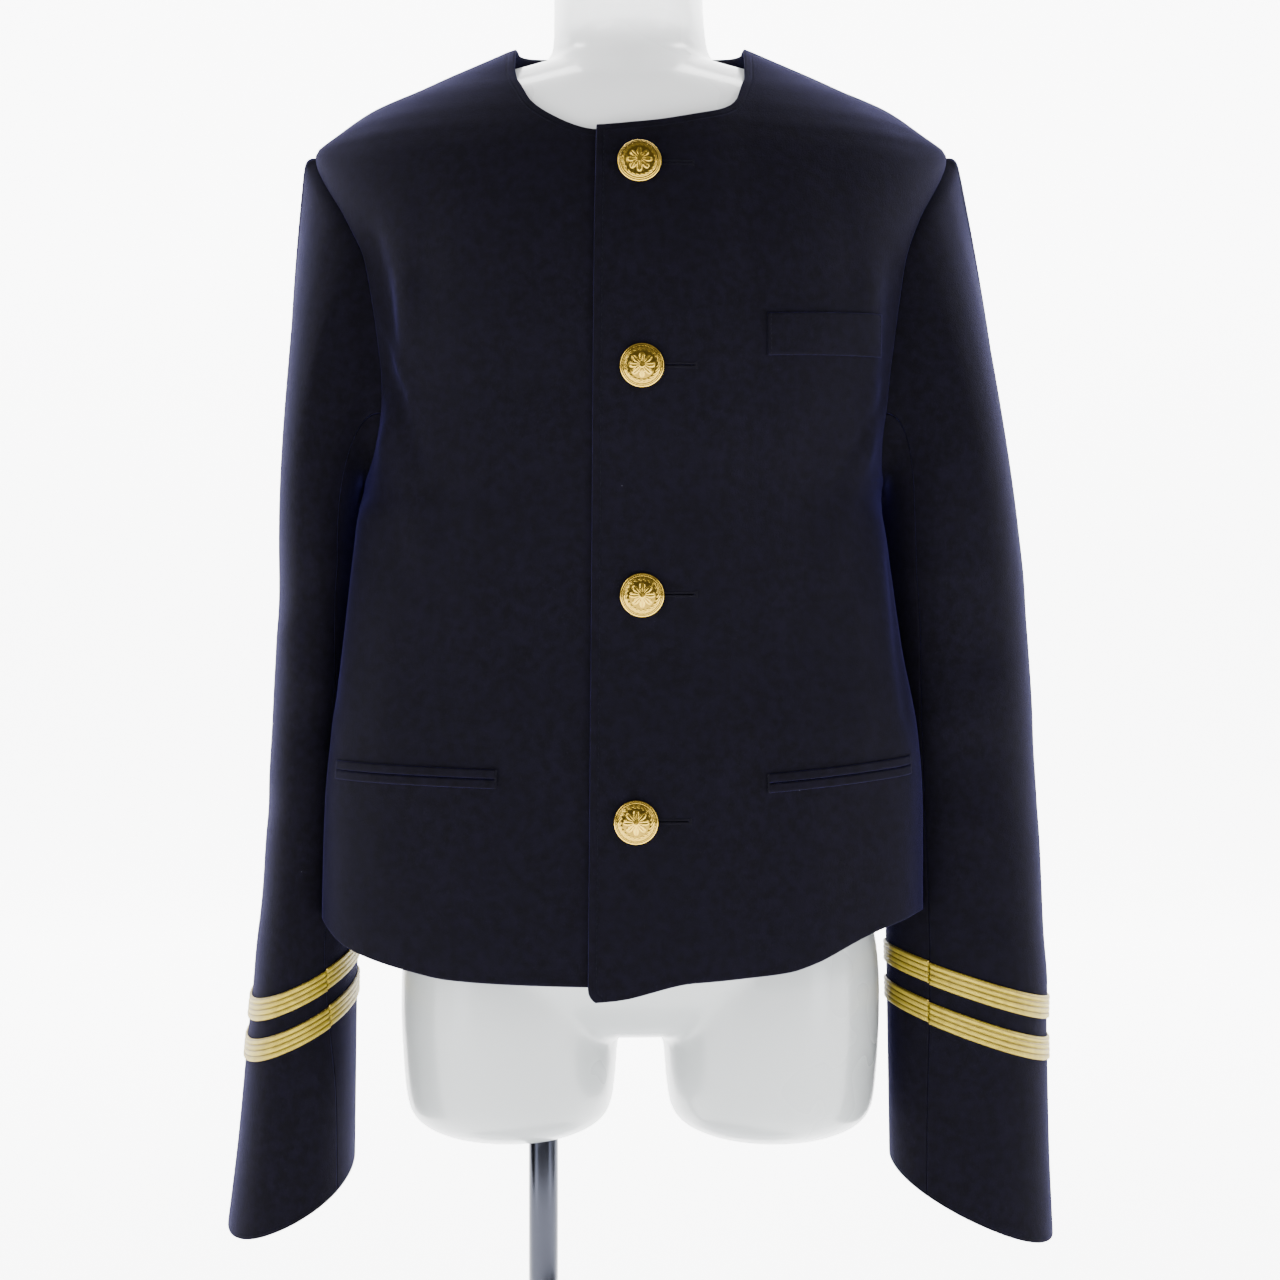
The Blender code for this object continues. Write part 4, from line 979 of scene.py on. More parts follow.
def rim_of(rings):
    """The edges that only one face uses."""
    uses = {}
    for ring in rings:
        for a, b in zip(ring, ring[1:] + ring[:1]):
            pair = (min(a, b), max(a, b))
            uses[pair] = uses.get(pair, 0) + 1
    return np.array([pair for pair, count in uses.items() if count == 1])


def away_from(points, starts, ends):
    """How far each point is from the nearest of some short straight runs."""
    samples = np.concatenate([blend(starts, ends, t) for t in np.linspace(0, 1, 9)])
    tree = KDTree(len(samples))
    for number, sample in enumerate(samples):
        tree.insert(sample, number)
    tree.balance()
    return np.array([tree.find(p)[2] for p in points])


def keep(name, points, rings, material, flat=None, values=None):
    """A named object in the part's frame with outward faces, its flat map and its own values."""
    mesh = bpy.data.meshes.new(name)
    shifted = np.asarray(points) + np.array([MIDDLE_X, 0, 0])
    mesh.from_pydata(shifted.tolist(), [], rings)
    for label, value in (values or {}).items():
        layer = mesh.attributes.new(label, "FLOAT", "POINT")
        layer.data.foreach_set("value", np.ascontiguousarray(value))
    if flat is not None:
        layer = mesh.uv_layers.new(name="flat")
        loops = np.empty(len(mesh.loops), int)
        mesh.loops.foreach_get("vertex_index", loops)
        layer.data.foreach_set("uv", np.ascontiguousarray(flat[loops]).ravel())
    work = bmesh.new()
    work.from_mesh(mesh)
    bmesh.ops.recalc_face_normals(work, faces=work.faces)
    if work.calc_volume(signed=True) < 0:
        bmesh.ops.reverse_faces(work, faces=work.faces)
    work.to_mesh(mesh)
    work.free()
    mesh.shade_smooth()
    mesh.materials.append(material)
    return in_scene(name, mesh)


CUTS = {}


def cut_size(name, patches):
    """Keeps the flat width, length and area that the piece is cut to, in metres."""
    middles = [(outer + inner) / 2 for outer, inner, _ in patches]
    width = sum(run_lengths(m, 1)[:, -1] for m in middles).max()
    length = max(run_lengths(m, 0)[-1].max() for m in middles)
    area = 0.0
    for m in middles:
        diagonal = m[1:, 1:] - m[:-1, :-1]
        other = m[1:, :-1] - m[:-1, 1:]
        area += np.linalg.norm(np.cross(diagonal, other), axis=2).sum() / 2
    CUTS[name] = (float(width), float(length), float(area))


def cloth_piece(name, patches, material, round_edge=EDGE_ROUND, sewn=None, seams=()):
    """A closed thin piece of cloth; sewn is its stitched free edge, seams are its joined edges."""
    cut_size(name, patches)
    outer, inner, flat, rings = joined(patches)
    middle = (outer + inner) / 2
    half = (outer - inner) / 2
    rim = rim_of(rings)
    away = away_from(middle, middle[rim[:, 0]], middle[rim[:, 1]])
    away[rim.ravel()] = 0.0
    reach = np.full(len(middle), round_edge)
    for line in seams:
        from_seam = away_from(middle, line[:-1], line[1:])
        reach[np.abs(from_seam - away) < SAME_EDGE] = SEAM_ROUND
    swell = np.sqrt(1 - (1 - np.clip(away / reach, 0, 1)) ** 2)[:, None]
    count = len(middle)
    on_rim = away == 0.0
    hidden = np.where(on_rim, np.arange(count), count + np.cumsum(~on_rim) - 1)
    points = np.concatenate([middle + half * swell, (middle - half * swell)[~on_rim]])
    kept = [r for r in rings if not all(on_rim[i] for i in r)]
    faces = kept + [[int(hidden[i]) for i in reversed(r)] for r in kept]
    edge = np.ones(count) if sewn is None else away_from(middle, sewn[:-1], sewn[1:])
    flat, edge = (np.concatenate([value, value[~on_rim]]) for value in (flat, edge))
    return keep(name, points, faces, material, flat, {"edge": edge})


# %% [markdown]
# ## Shared effects
# Wool nap, lint and the thread of the braid are used on many pieces, so each one is a node
# group with named inputs. It gives out only colours and heights. The shader that uses them
# stays in the material, where a reader can see which numbers belong to which cloth.

# %% Node groups of the materials
def node_group(name, inputs, outputs):
    """An empty shader group with named float, colour or vector sockets."""
    group = bpy.data.node_groups.new(name, "ShaderNodeTree")
    for label, kind, value in inputs:
        socket = group.interface.new_socket(label, in_out="INPUT", socket_type=kind)
        if value is not None:
            socket.default_value = value
    for label, kind in outputs:
        group.interface.new_socket(label, in_out="OUTPUT", socket_type=kind)
    return group, group.nodes.new("NodeGroupInput"), group.nodes.new("NodeGroupOutput")


def add(tree, kind, links=(), **values):
    """A node with its settings, and with inputs linked to sockets or set to values."""
    node = tree.nodes.new(kind)
    for key, value in values.items():
        setattr(node, key, value)
    for socket, source in dict(links).items():
        if isinstance(source, bpy.types.NodeSocket):
            tree.links.new(source, node.inputs[socket])
        else:
            node.inputs[socket].default_value = source
    return node


def maths(tree, operation, a, b=0.0, c=0.0):
    return add(tree, "ShaderNodeMath", {0: a, 1: b, 2: c}, operation=operation).outputs[0]


def spread(tree, value, low, high, to_low=0.0, to_high=1.0):
    """The value mapped smoothly from one range to another."""
    links = {"Value": value, "From Min": low, "From Max": high, "To Min": to_low, "To Max": to_high}
    return add(tree, "ShaderNodeMapRange", links, interpolation_type="SMOOTHSTEP").outputs["Result"]


def make_nap():
    """Felted wool: a close uneven nap, soft mottling and a rare fleck of lint."""
    group, start, end = node_group(
        "Melton Nap",
        [("Vector", "NodeSocketVector", None), ("Nap Size", "NodeSocketFloat", 0.0011),
         ("Mottle Size", "NodeSocketFloat", 0.0050), ("Lint Share", "NodeSocketFloat", 0.05)],
        [("Nap", "NodeSocketFloat"), ("Mottle", "NodeSocketFloat"), ("Lint", "NodeSocketFloat")])
    place = start.outputs["Vector"]
    nap_scale = maths(group, "DIVIDE", 1.0, start.outputs["Nap Size"])
    coarse = add(group, "ShaderNodeTexNoise", {"Vector": place, "Scale": nap_scale, "Detail": 4.0,
                                               "Roughness": 0.7, "Distortion": 0.4})
    mottle_scale = maths(group, "DIVIDE", 1.0, start.outputs["Mottle Size"])
    mottle = add(group, "ShaderNodeTexNoise", {"Vector": place, "Scale": mottle_scale, "Detail": 5.0,
                                               "Roughness": 0.6})
    cells = add(group, "ShaderNodeTexVoronoi", {"Vector": place, "Scale": 95.0}, feature="F1")
    near = spread(group, cells.outputs["Distance"], 0.05, 0.025)
    chosen = add(group, "ShaderNodeSeparateColor", {"Color": cells.outputs["Color"]})
    rare = maths(group, "LESS_THAN", chosen.outputs[0], start.outputs["Lint Share"])
    group.links.new(coarse.outputs["Fac"], end.inputs["Nap"])
    group.links.new(mottle.outputs["Fac"], end.inputs["Mottle"])
    group.links.new(maths(group, "MULTIPLY", near, rare), end.inputs["Lint"])
    return group


def make_stitched_edge():
    """A shallow groove where an edge is stitched, at a distance in from the edge."""
    group, start, end = node_group(
        "Stitched Edge",
        [("Edge Distance", "NodeSocketFloat", 1.0), ("Inset", "NodeSocketFloat", 0.0045),
         ("Width", "NodeSocketFloat", 0.0011)],
        [("Groove", "NodeSocketFloat")])
    off = maths(group, "ABSOLUTE", maths(group, "SUBTRACT", start.outputs[0], start.outputs[1]))
    share = maths(group, "DIVIDE", off, start.outputs[2])
    group.links.new(spread(group, share, 1.0, 0.0), end.inputs["Groove"])
    return group


def make_braid_thread():
    """Thread that crosses the braid's ribs one way and the other, from its flat map."""
    group, start, end = node_group(
        "Braid Thread",
        [("Flat", "NodeSocketVector", None), ("Pitch", "NodeSocketFloat", 0.0011),
         ("Rib Width", "NodeSocketFloat", 0.0031)],
        [("Thread", "NodeSocketFloat"), ("Gap", "NodeSocketFloat")])
    part = add(group, "ShaderNodeSeparateXYZ", {"Vector": start.outputs["Flat"]})
    across = maths(group, "DIVIDE", part.outputs["Y"], start.outputs["Rib Width"])
    fold = maths(group, "PINGPONG", across, 1.0)
    along_band = maths(group, "DIVIDE", part.outputs["X"], start.outputs["Pitch"])
    slant = maths(group, "MULTIPLY_ADD", fold, 1.1, along_band)
    wave = maths(group, "SINE", maths(group, "MULTIPLY", slant, 2 * math.pi))
    group.links.new(maths(group, "MULTIPLY_ADD", wave, 0.5, 0.5), end.inputs["Thread"])
    rib = maths(group, "ABSOLUTE", maths(group, "SUBTRACT", maths(group, "FRACT", across), 0.5))
    group.links.new(spread(group, rib, 0.36, 0.5), end.inputs["Gap"])
    return group


NAP = make_nap()
STITCHED_EDGE = make_stitched_edge()
BRAID_THREAD = make_braid_thread()


# %% [markdown]
# ## Materials
# The cloth is almost black, so its colour is mostly what its fuzz throws back at a low angle.
# A diffuse colour alone would look like rubber, so the wool has a sheen with a violet tint.

# %% Wool, braid, metal and the form
NAVY_DARK = (0.0019, 0.0017, 0.0029)
NAVY_LIGHT = (0.0030, 0.0026, 0.0058)
LINT = (0.10, 0.10, 0.13)
GROOVE_SHADE = (0.002, 0.002, 0.004)
BRAID_DULL = (0.145, 0.102, 0.003)
BRAID_BRIGHT = (0.385, 0.295, 0.010)
# Painted shade between the braid's ribs
BRAID_GAP_SHADE = (0.085, 0.050, 0.008)
GILT = (0.54, 0.355, 0.048)
# Painted shade in the button's hollows
GILT_SHADE = (0.026, 0.014, 0.002)
# The form's colour low down and high up; the grey low down is painted shade
FORM_SHADED = (0.32, 0.335, 0.335)
FORM_LIT = (0.82, 0.83, 0.83)


def material(name, colour, **settings):
    made = bpy.data.materials.new(name)
    made.use_nodes = True
    shader = made.node_tree.nodes["Principled BSDF"]
    shader.inputs["Base Color"].default_value = (*colour, 1)
    for label, value in settings.items():
        shader.inputs[label.replace("_", " ")].default_value = value
    return made, made.node_tree, shader


def mix_colour(tree, share, a, b):
    node = tree.nodes.new("ShaderNodeMix")
    node.data_type = "RGBA"
    for index, value in ((0, share), (6, a), (7, b)):
        if isinstance(value, bpy.types.NodeSocket):
            tree.links.new(value, node.inputs[index])
        else:
            node.inputs[index].default_value = value if index == 0 else (*value, 1)
    return node.outputs[2]


def wool(name, dark, light, nap_depth, lint):
    """Navy melton: mottled dark colour, fuzzy sheen, nap and a stitched edge as relief."""
    made, tree, shader = material(
        name, dark, Roughness=0.95, Specular_IOR_Level=0.05,
        Sheen_Weight=0.30, Sheen_Roughness=0.30, Sheen_Tint=(0.070, 0.058, 0.30, 1))
    place = add(tree, "ShaderNodeTexCoord").outputs["Object"]
    nap = add(tree, "ShaderNodeGroup", node_tree=NAP)
    tree.links.new(place, nap.inputs["Vector"])
    nap.inputs["Lint Share"].default_value = lint
    edge = add(tree, "ShaderNodeAttribute", attribute_name="edge")
    groove = add(tree, "ShaderNodeGroup", node_tree=STITCHED_EDGE)
    tree.links.new(edge.outputs["Fac"], groove.inputs["Edge Distance"])
    shade = spread(tree, nap.outputs["Mottle"], 0.30, 0.72)
    cloth = mix_colour(tree, shade, dark, light)
    cloth = mix_colour(tree, maths(tree, "MULTIPLY", nap.outputs["Lint"], 0.45), cloth, LINT)
    in_groove = maths(tree, "MULTIPLY", groove.outputs["Groove"], 0.6)
    cloth = mix_colour(tree, in_groove, cloth, GROOVE_SHADE)
    tree.links.new(cloth, shader.inputs["Base Color"])
    height = maths(tree, "MULTIPLY_ADD", groove.outputs["Groove"], -0.9, nap.outputs["Nap"])
    bump = add(tree, "ShaderNodeBump", {"Height": height, "Strength": 0.8, "Distance": nap_depth})
    tree.links.new(bump.outputs["Normal"], shader.inputs["Normal"])
    return made


def make_braid_gold():
    """Gold thread: metal strands, worn unevenly, with painted shade between the ribs."""
    made, tree, shader = material("braid_gold", (0.50, 0.34, 0.03), Metallic=0.45, Roughness=0.44)
    flat = add(tree, "ShaderNodeUVMap", uv_map="flat").outputs["UV"]
    thread = add(tree, "ShaderNodeGroup", node_tree=BRAID_THREAD)
    tree.links.new(flat, thread.inputs["Flat"])
    place = add(tree, "ShaderNodeTexCoord").outputs["Object"]
    worn = add(tree, "ShaderNodeTexNoise", {"Vector": place, "Scale": 240.0, "Detail": 3.0})
    bright = mix_colour(tree, worn.outputs["Fac"], BRAID_DULL, BRAID_BRIGHT)
    # Painted shade: the braid is darkened in the gaps between its ribs
    dark = mix_colour(tree, thread.outputs["Gap"], bright, BRAID_GAP_SHADE)
    tree.links.new(dark, shader.inputs["Base Color"])
    bump = add(tree, "ShaderNodeBump",
               {"Height": thread.outputs["Thread"], "Strength": 0.7, "Distance": 0.0003})
    tree.links.new(bump.outputs["Normal"], shader.inputs["Normal"])
    return made


def make_button_gold():
    """Gilt brass with painted shade in the hollows of the stamp, rubbed unevenly."""
    made, tree, shader = material("button_gold", (0.90, 0.66, 0.26), Metallic=1.0, Roughness=0.20)
    low = add(tree, "ShaderNodeAttribute", attribute_name="recess_shade")
    # Painted shade: the stamp's hollows and the ditch at the rim are darkened
    gold = mix_colour(tree, low.outputs["Fac"], GILT, GILT_SHADE)
    tree.links.new(gold, shader.inputs["Base Color"])
    place = add(tree, "ShaderNodeTexCoord").outputs["Object"]
    rub = add(tree, "ShaderNodeTexNoise", {"Vector": place, "Scale": 420.0, "Detail": 4.0})
    tree.links.new(spread(tree, rub.outputs["Fac"], 0.3, 0.75, 0.12, 0.28), shader.inputs["Roughness"])
    return made


def make_gloss_white():
    """Glossy white plastic, with painted shade that greys it towards the thighs."""
    made, tree, shader = material("form_gloss", (0.60, 0.61, 0.62), Roughness=0.30,
                                  Coat_Weight=0.35, Coat_Roughness=0.10)
    place = add(tree, "ShaderNodeTexCoord").outputs["Object"]
    high = add(tree, "ShaderNodeSeparateXYZ", {"Vector": place}).outputs["Z"]
    # Painted shade: the colour darkens lower down, towards the thighs
    lit_share = spread(tree, high, 0.25, 0.78, 0.0, 1.0)
    shade = mix_colour(tree, lit_share, FORM_SHADED, FORM_LIT)
    tree.links.new(shade, shader.inputs["Base Color"])
    wave = add(tree, "ShaderNodeTexNoise", {"Vector": place, "Scale": 14.0, "Detail": 2.0})
    tree.links.new(spread(tree, wave.outputs["Fac"], 0.3, 0.7, 0.26, 0.36), shader.inputs["Roughness"])
    return made


def make_metal(name, colour, smooth, rough, stretch):
    """Polished or brushed metal, its brushing drawn out along one axis."""
    made, tree, shader = material(name, colour, Metallic=1.0, Roughness=smooth)
    place = add(tree, "ShaderNodeTexCoord").outputs["Object"]
    drawn = add(tree, "ShaderNodeMapping", {"Vector": place, "Scale": stretch})
    grain = add(tree, "ShaderNodeTexNoise", {"Vector": drawn.outputs[0], "Scale": 220.0, "Detail": 3.0})
    tree.links.new(spread(tree, grain.outputs["Fac"], 0.3, 0.7, smooth, rough),
                   shader.inputs["Roughness"])
    return made


WOOL = wool("melton_navy", NAVY_DARK, NAVY_LIGHT, nap_depth=0.00032, lint=0.03)
THREAD, _, _ = material("navy_thread", (0.0024, 0.0021, 0.0036), Roughness=0.80,
                        Specular_IOR_Level=0.06, Sheen_Weight=0.06, Sheen_Tint=(0.2, 0.2, 0.45, 1))
GOLD_THREAD, _, _ = material("gold_thread", (0.66, 0.44, 0.09), Roughness=0.5, Metallic=0.4)
BRAID = make_braid_gold()
BUTTON_GOLD = make_button_gold()
WHITE = make_gloss_white()
CHROME = make_metal("pole_chrome", (0.034, 0.036, 0.046), 0.18, 0.26, (1.0, 1.0, 0.05))
STEEL = make_metal("base_steel", (0.50, 0.51, 0.53), 0.27, 0.30, (1.0, 1.0, 1.0))
print("materials:", len(bpy.data.materials))

# %% [markdown]
# ## The body of the jacket
# The fronts and the back are cut from the one body surface, in angle and height. Real panels
# are cut flat and sewn, but here each edge already lies where its seam comes, so neighbours
# meet all along it. Rows follow the hem, the armhole and the neckline.

# %% Fronts and back
# Rows of a panel below, beside and above the armhole, its columns, and how long they run
ROWS_BELOW = 118
ROWS_BESIDE = 88
ROWS_ABOVE = 34
FRONT_COLUMNS = 84
BACK_COLUMNS = 62
RUN_BELOW = 0.26
RUN_ABOVE = 0.066
PANEL_WIDTH = 0.19
SIDES = (("right", -1), ("left", 1))


def panel_rows(above_share):
    """Shares up a panel, with closer rows at the hem and every corner kept."""
    low = shares(ROWS_BELOW, RUN_BELOW)[:-AT_END] * ARMHOLE_SHARE
    beside = np.linspace(ARMHOLE_SHARE, SHOULDER_SHARE, ROWS_BESIDE + 1)
    above = SHOULDER_SHARE + (1 - SHOULDER_SHARE) * shares(ROWS_ABOVE, RUN_ABOVE)[AT_END:]
    rows = np.concatenate([low, beside, above, [above_share]])
    return np.unique(np.round(rows, 7))


def no_lift(angle, height):
    return 0 * height


def free_edge(patches):
    """The points down the free front edge of a panel, where it is stitched."""
    outer, inner, _ = patches[0]
    return (outer[:, 0] + inner[:, 0]) / 2


def make_front(name, side, lift):
    at = body_wall(lambda u, v: front_cut(side, u, v), lift, CLOTH)
    patches = [fine_patch(at, shares(FRONT_COLUMNS, PANEL_WIDTH), panel_rows(1.0))]
    seams = grid_edges(patches, "far")
    return cloth_piece(name, patches, WOOL, sewn=free_edge(patches), seams=seams)


over_front = make_front("over_front", 1, lap_lift)
under_front = make_front("under_front", -1, no_lift)
back_across = np.concatenate([[0], shares(BACK_COLUMNS, PANEL_WIDTH)[AT_END:]])
back_patches = []
for side in (-1, 1):
    at = body_wall(lambda u, v: back_cut(side, u, v), no_lift, CLOTH)
    back_patches.append(fine_patch(at, back_across, panel_rows(BACK_NECK_SHARE), way=side))
back_panel = cloth_piece("back_panel", back_patches, WOOL, seams=grid_edges(back_patches, "far"))
print("fronts and back:", {name: [round(x, 3) for x in cut] for name, cut in CUTS.items()})

# %% [markdown]
# ## Worked buttonholes
# Each hole is a real slit through the over front, so the dark under front shows in it. The
# slit could be painted on, but then the purl stitches round it would have nothing to bind.
# The stitches come later, from the same outline.

# %% Slits in the over front
# Slit sizes in metres, and how square the corners of its outline are along and across
SLIT_WIDTH = 0.0008
SLIT_START = 0.0020
SLIT_END = 0.0285
SLIT_RISE = 0.0005
SLIT_SQUARE_ALONG = 1.6
SLIT_SQUARE_ACROSS = 1.8
SLIT_POINTS = 24
CUT_FROM = 0.0006
CUT_TO = 0.0080
PURL_INSET = 0.0009
PURL_START = 0.0006
PURL_POINTS = 84


def hole_outline(across, height, half_width, start, end, count):
    """Points round a buttonhole in order, and the way out of the cloth at each."""
    p, n, sideways, up = body_frame(across, height)
    turns = np.linspace(0, 2 * math.pi, count, endpoint=False)
    half_run = (end - start) / 2 - half_width
    points = []
    for t in turns:
        run = (start + end) / 2 + half_run * np.clip(SLIT_SQUARE_ALONG * math.cos(t), -1, 1)
        run += half_width * math.cos(t)
        rise = half_width * np.clip(SLIT_SQUARE_ACROSS * math.sin(t), -1, 1) + SLIT_RISE
        points.append(p + sideways * run + up * rise)
    return points, n


def slit_block(across, height):
    """A block through the over front alone, in the outline of the slit."""
    end = SLIT_END - PURL_INSET
    points, n = hole_outline(across, height, SLIT_WIDTH / 2, SLIT_START, end, SLIT_POINTS)
    low = [q - n * CUT_FROM for q in points]
    high = [q + n * CUT_TO for q in points]
    count = len(points)
    faces = [[i, (i + 1) % count, (i + 1) % count + count, i + count] for i in range(count)]
    return low + high, faces + [list(range(count)), list(range(count, 2 * count))]


for number, (across, height) in enumerate(BUTTON_PLACES, 1):
    points, faces = slit_block(across, height)
    block = keep(f"slit_{number}", [list(q) for q in points], faces, WOOL)
    apply_boolean(over_front, block, "DIFFERENCE")
over_front.data.shade_smooth()
print("buttonholes cut:", len(BUTTON_PLACES))

# %% [markdown]
# ## Sleeves
# Each sleeve is two pieces, a wide one outside and a narrow one towards the body. They are
# lofted from the armhole's own points, so a sleeve cannot leave its armhole. The creases at
# the elbow and the armpit are written in the fold table, one row each.

# %% Sleeve tops and unders
SLEEVE_ROWS = 158
SLEEVE_LENGTH = 0.60
sleeve_pieces = {}
for label, side in SIDES:
    for piece, columns, width in (("top", 100, 0.22), ("under", 56, 0.13)):
        at = sleeve_wall(side, piece, 0.0, CLOTH)
        grid = fine_patch(at, shares(columns, width), shares(SLEEVE_ROWS, SLEEVE_LENGTH))
        name = f"sleeve_{piece}_{label}_cloth"
        joins = grid_edges([grid], "near", "far", "bottom")
        sleeve_pieces[piece, label] = cloth_piece(name, [grid], WOOL, seams=joins)
print("sleeve pieces:", len(sleeve_pieces))

# %% [markdown]
# ## Gold braid
# Two flat braids go round each cuff. Their four ribs are modelled, because they catch the
# light along the whole band, and the crossing of the threads is left to the material.

# %% Braid with four ribs
RIBS = 4
RIB_SAMPLES = 9
RIB_VALLEY = 0.48
braid_pieces = {}


def braid_low(side, piece, rise):
    """The height of a braid's lower edge; on the under sleeve it is sewn a little higher."""
    return sleeve_low(side) + rise + (BRAID_JOG if piece == "under" else 0.0)


def braid_wall(side, piece):
    """The braid lies on the sleeve, thin between its ribs and thick along them."""
    base = sleeve_wall(side, piece, ON_CLOTH, BRAID_THICK)

    def at(u, v):
        outer, inner = base(u, v)
        low, high = v.min(), v.max()
        place = (v - low) / (high - low) * RIBS
        rib = np.sqrt(np.clip(1 - (2 * (place - np.floor(place)) - 1) ** 2, 0, 1))
        rib = np.where((place <= 0) | (place >= RIBS), 0, rib)
        return inner + (outer - inner) * (RIB_VALLEY + (1 - RIB_VALLEY) * rib)[:, None], inner
    return at


for label, side in SIDES:
    for piece, columns in (("top", 150), ("under", 84)):
        for level, rise in BRAID_HEIGHTS:
            low = braid_low(side, piece, rise)
            rows = share_at(side, np.linspace(low, low + BRAID_WIDTH, RIBS * RIB_SAMPLES + 1))
            grid = fine_patch(braid_wall(side, piece), np.linspace(0, 1, columns), rows)
            name = f"braid_{level}_{piece}_{label}_gold"
            braid_pieces[level, piece, label] = cloth_piece(name, [grid], BRAID, round_edge=0.0005)
print("braids:", len(braid_pieces))

# %% [markdown]
# ## Pockets
# A hip pocket shows only its two narrow lips and the dark slit between them. The breast welt
# is a plain strip, sewn down at both ends. All of them are cut on the body surface and then
# moved out by their own thickness, so they follow the folds of the front.

# %% Pocket lips and breast welt
LIP_THICK = 0.0012
LIP_LENGTH = 0.075
LIP_ROUND = 0.0013
LIP_ROWS = 15
WELT_THICK = 0.0014
WELT_LENGTH = 0.064
WELT_WIDTH = 0.024
WELT_ROUND = 0.0012
WELT_ROWS = 24
STRIP_COLUMNS = 60
lips = {}


def on_front(cut, thick):
    """A strip that lies on the cloth of a front."""
    return body_wall(cut, lambda a, h: 0 * h + ON_CLOTH + thick, thick)


def slit_ends(side):
    """Angle and height of a hip pocket's inner and outer end."""
    inner, outer_angle, inner_height, outer_height = HIP_SLITS[side]
    inner_angle = abs(float(angle_at([side * inner], np.array([inner_height]))[0]))
    return (inner_angle, inner_height), (outer_angle, outer_height)


def lip_cut(side, way):
    """The upper or lower lip of a hip pocket, beside its slit."""
    (inner_angle, inner_height), (outer_angle, outer_height) = slit_ends(side)

    def cut(u, v):
        angle = side * blend(inner_angle, outer_angle, u)
        slit = blend(inner_height, outer_height, u)
        near = way * JET_PARTING / 2
        return angle, slit + blend(near, near + way * JET_WIDTH, v)
    return cut


def welt_cut(u, v):
    low = blend(WELT_LOW[0], WELT_LOW[1], u)
    height = blend(low, blend(WELT_HIGH[0], WELT_HIGH[1], u), v)
    return angle_at(blend(WELT_SPAN[0], WELT_SPAN[1], u), height), height


for label, side in SIDES:
    for name, way in (("upper", 1), ("lower", -1)):
        at = on_front(lip_cut(side, way), LIP_THICK)
        grid = fine_patch(at, shares(STRIP_COLUMNS, LIP_LENGTH), np.linspace(0, 1, LIP_ROWS))
        lips[name, label] = cloth_piece(f"hip_lip_{name}_{label}", [grid], WOOL, round_edge=LIP_ROUND)
at = on_front(welt_cut, WELT_THICK)
grid = fine_patch(at, shares(STRIP_COLUMNS, WELT_LENGTH), shares(WELT_ROWS, WELT_WIDTH))
breast_strip = cloth_piece("breast_strip", [grid], WOOL, round_edge=WELT_ROUND)
print("pocket pieces:", len(lips) + 1)

# %% [markdown]
# ## Buttons
# The buttons are stamped brass domes with a rolled rim. In the middle is a plain rosette of
# eight petals within a wreath and a rope ring. It is pressed into the dome's own mesh, and
# its hollows carry a darkness value, which is painted shade.

# %% Domed buttons with a stamped rosette
BUTTON_TURNS = 96
DOME_RINGS = 56
STAMP_DEPTH = 0.00042
RIM_BEAD = 0.00085
RIM_RAISE = 0.0011
DOME_ANGLES = (68, 70)
SEAT = 0.0001

# The stamp, in shares of the radius: petals, heart, rope ring, wreath and the ditch at the rim
PETALS = 8
PETAL_ROOT = 0.20
PETAL_REACH = 0.40
PETAL_EDGE = 0.05
HEART = 0.12
HEART_EDGE = 0.04
ROPE_AT = 0.880
ROPE_WIDTH = 0.026
ROPE_TURNS = 40
WREATH_AT = 0.735
WREATH_WIDTH = 0.085
LEAVES = 11
DITCH_AT = 0.935
DITCH_WIDTH = 0.020


def stamp(share, turn):
    """Relief and painted shade of the stamped face, at a share of the radius and an angle."""
    petal = np.abs(np.cos(turn * PETALS / 2)) ** 0.6
    reach = PETAL_ROOT + PETAL_REACH * petal
    flower = 1 - ease((share - reach + PETAL_EDGE) / PETAL_EDGE)
    heart = 1 - ease((share - HEART) / HEART_EDGE)
    in_petal = (share < reach) * (share > 0.14)
    vein = 0.5 * np.exp(-((np.sin(turn * PETALS / 2) / 0.20) ** 2)) * in_petal
    strands = 0.62 + 0.38 * np.sin(turn * ROPE_TURNS + share * 60)
    rope = np.exp(-(((share - ROPE_AT) / ROPE_WIDTH) ** 2)) * strands
    leaf = np.abs(np.sin(turn * LEAVES + 2.2 * np.sin(share * 21))) ** 0.8
    leaf = leaf * (0.55 + 0.45 * np.abs(np.cos(share * 48)))
    wreath = np.exp(-(((share - WREATH_AT) / WREATH_WIDTH) ** 4)) * leaf
    height = np.maximum(np.maximum(flower * (0.75 - vein), heart), np.maximum(rope, wreath * 0.85))
    ditch = np.exp(-(((share - DITCH_AT) / DITCH_WIDTH) ** 2))
    # Painted shade: darker in the hollows of the stamp and in the ditch at the rim
    recess_shade = np.clip(1 - height * 1.3, 0, 1) * (share < 0.92) * 0.62 + ditch * 0.7
    return height - ditch * 0.8, np.clip(recess_shade, 0, 1)


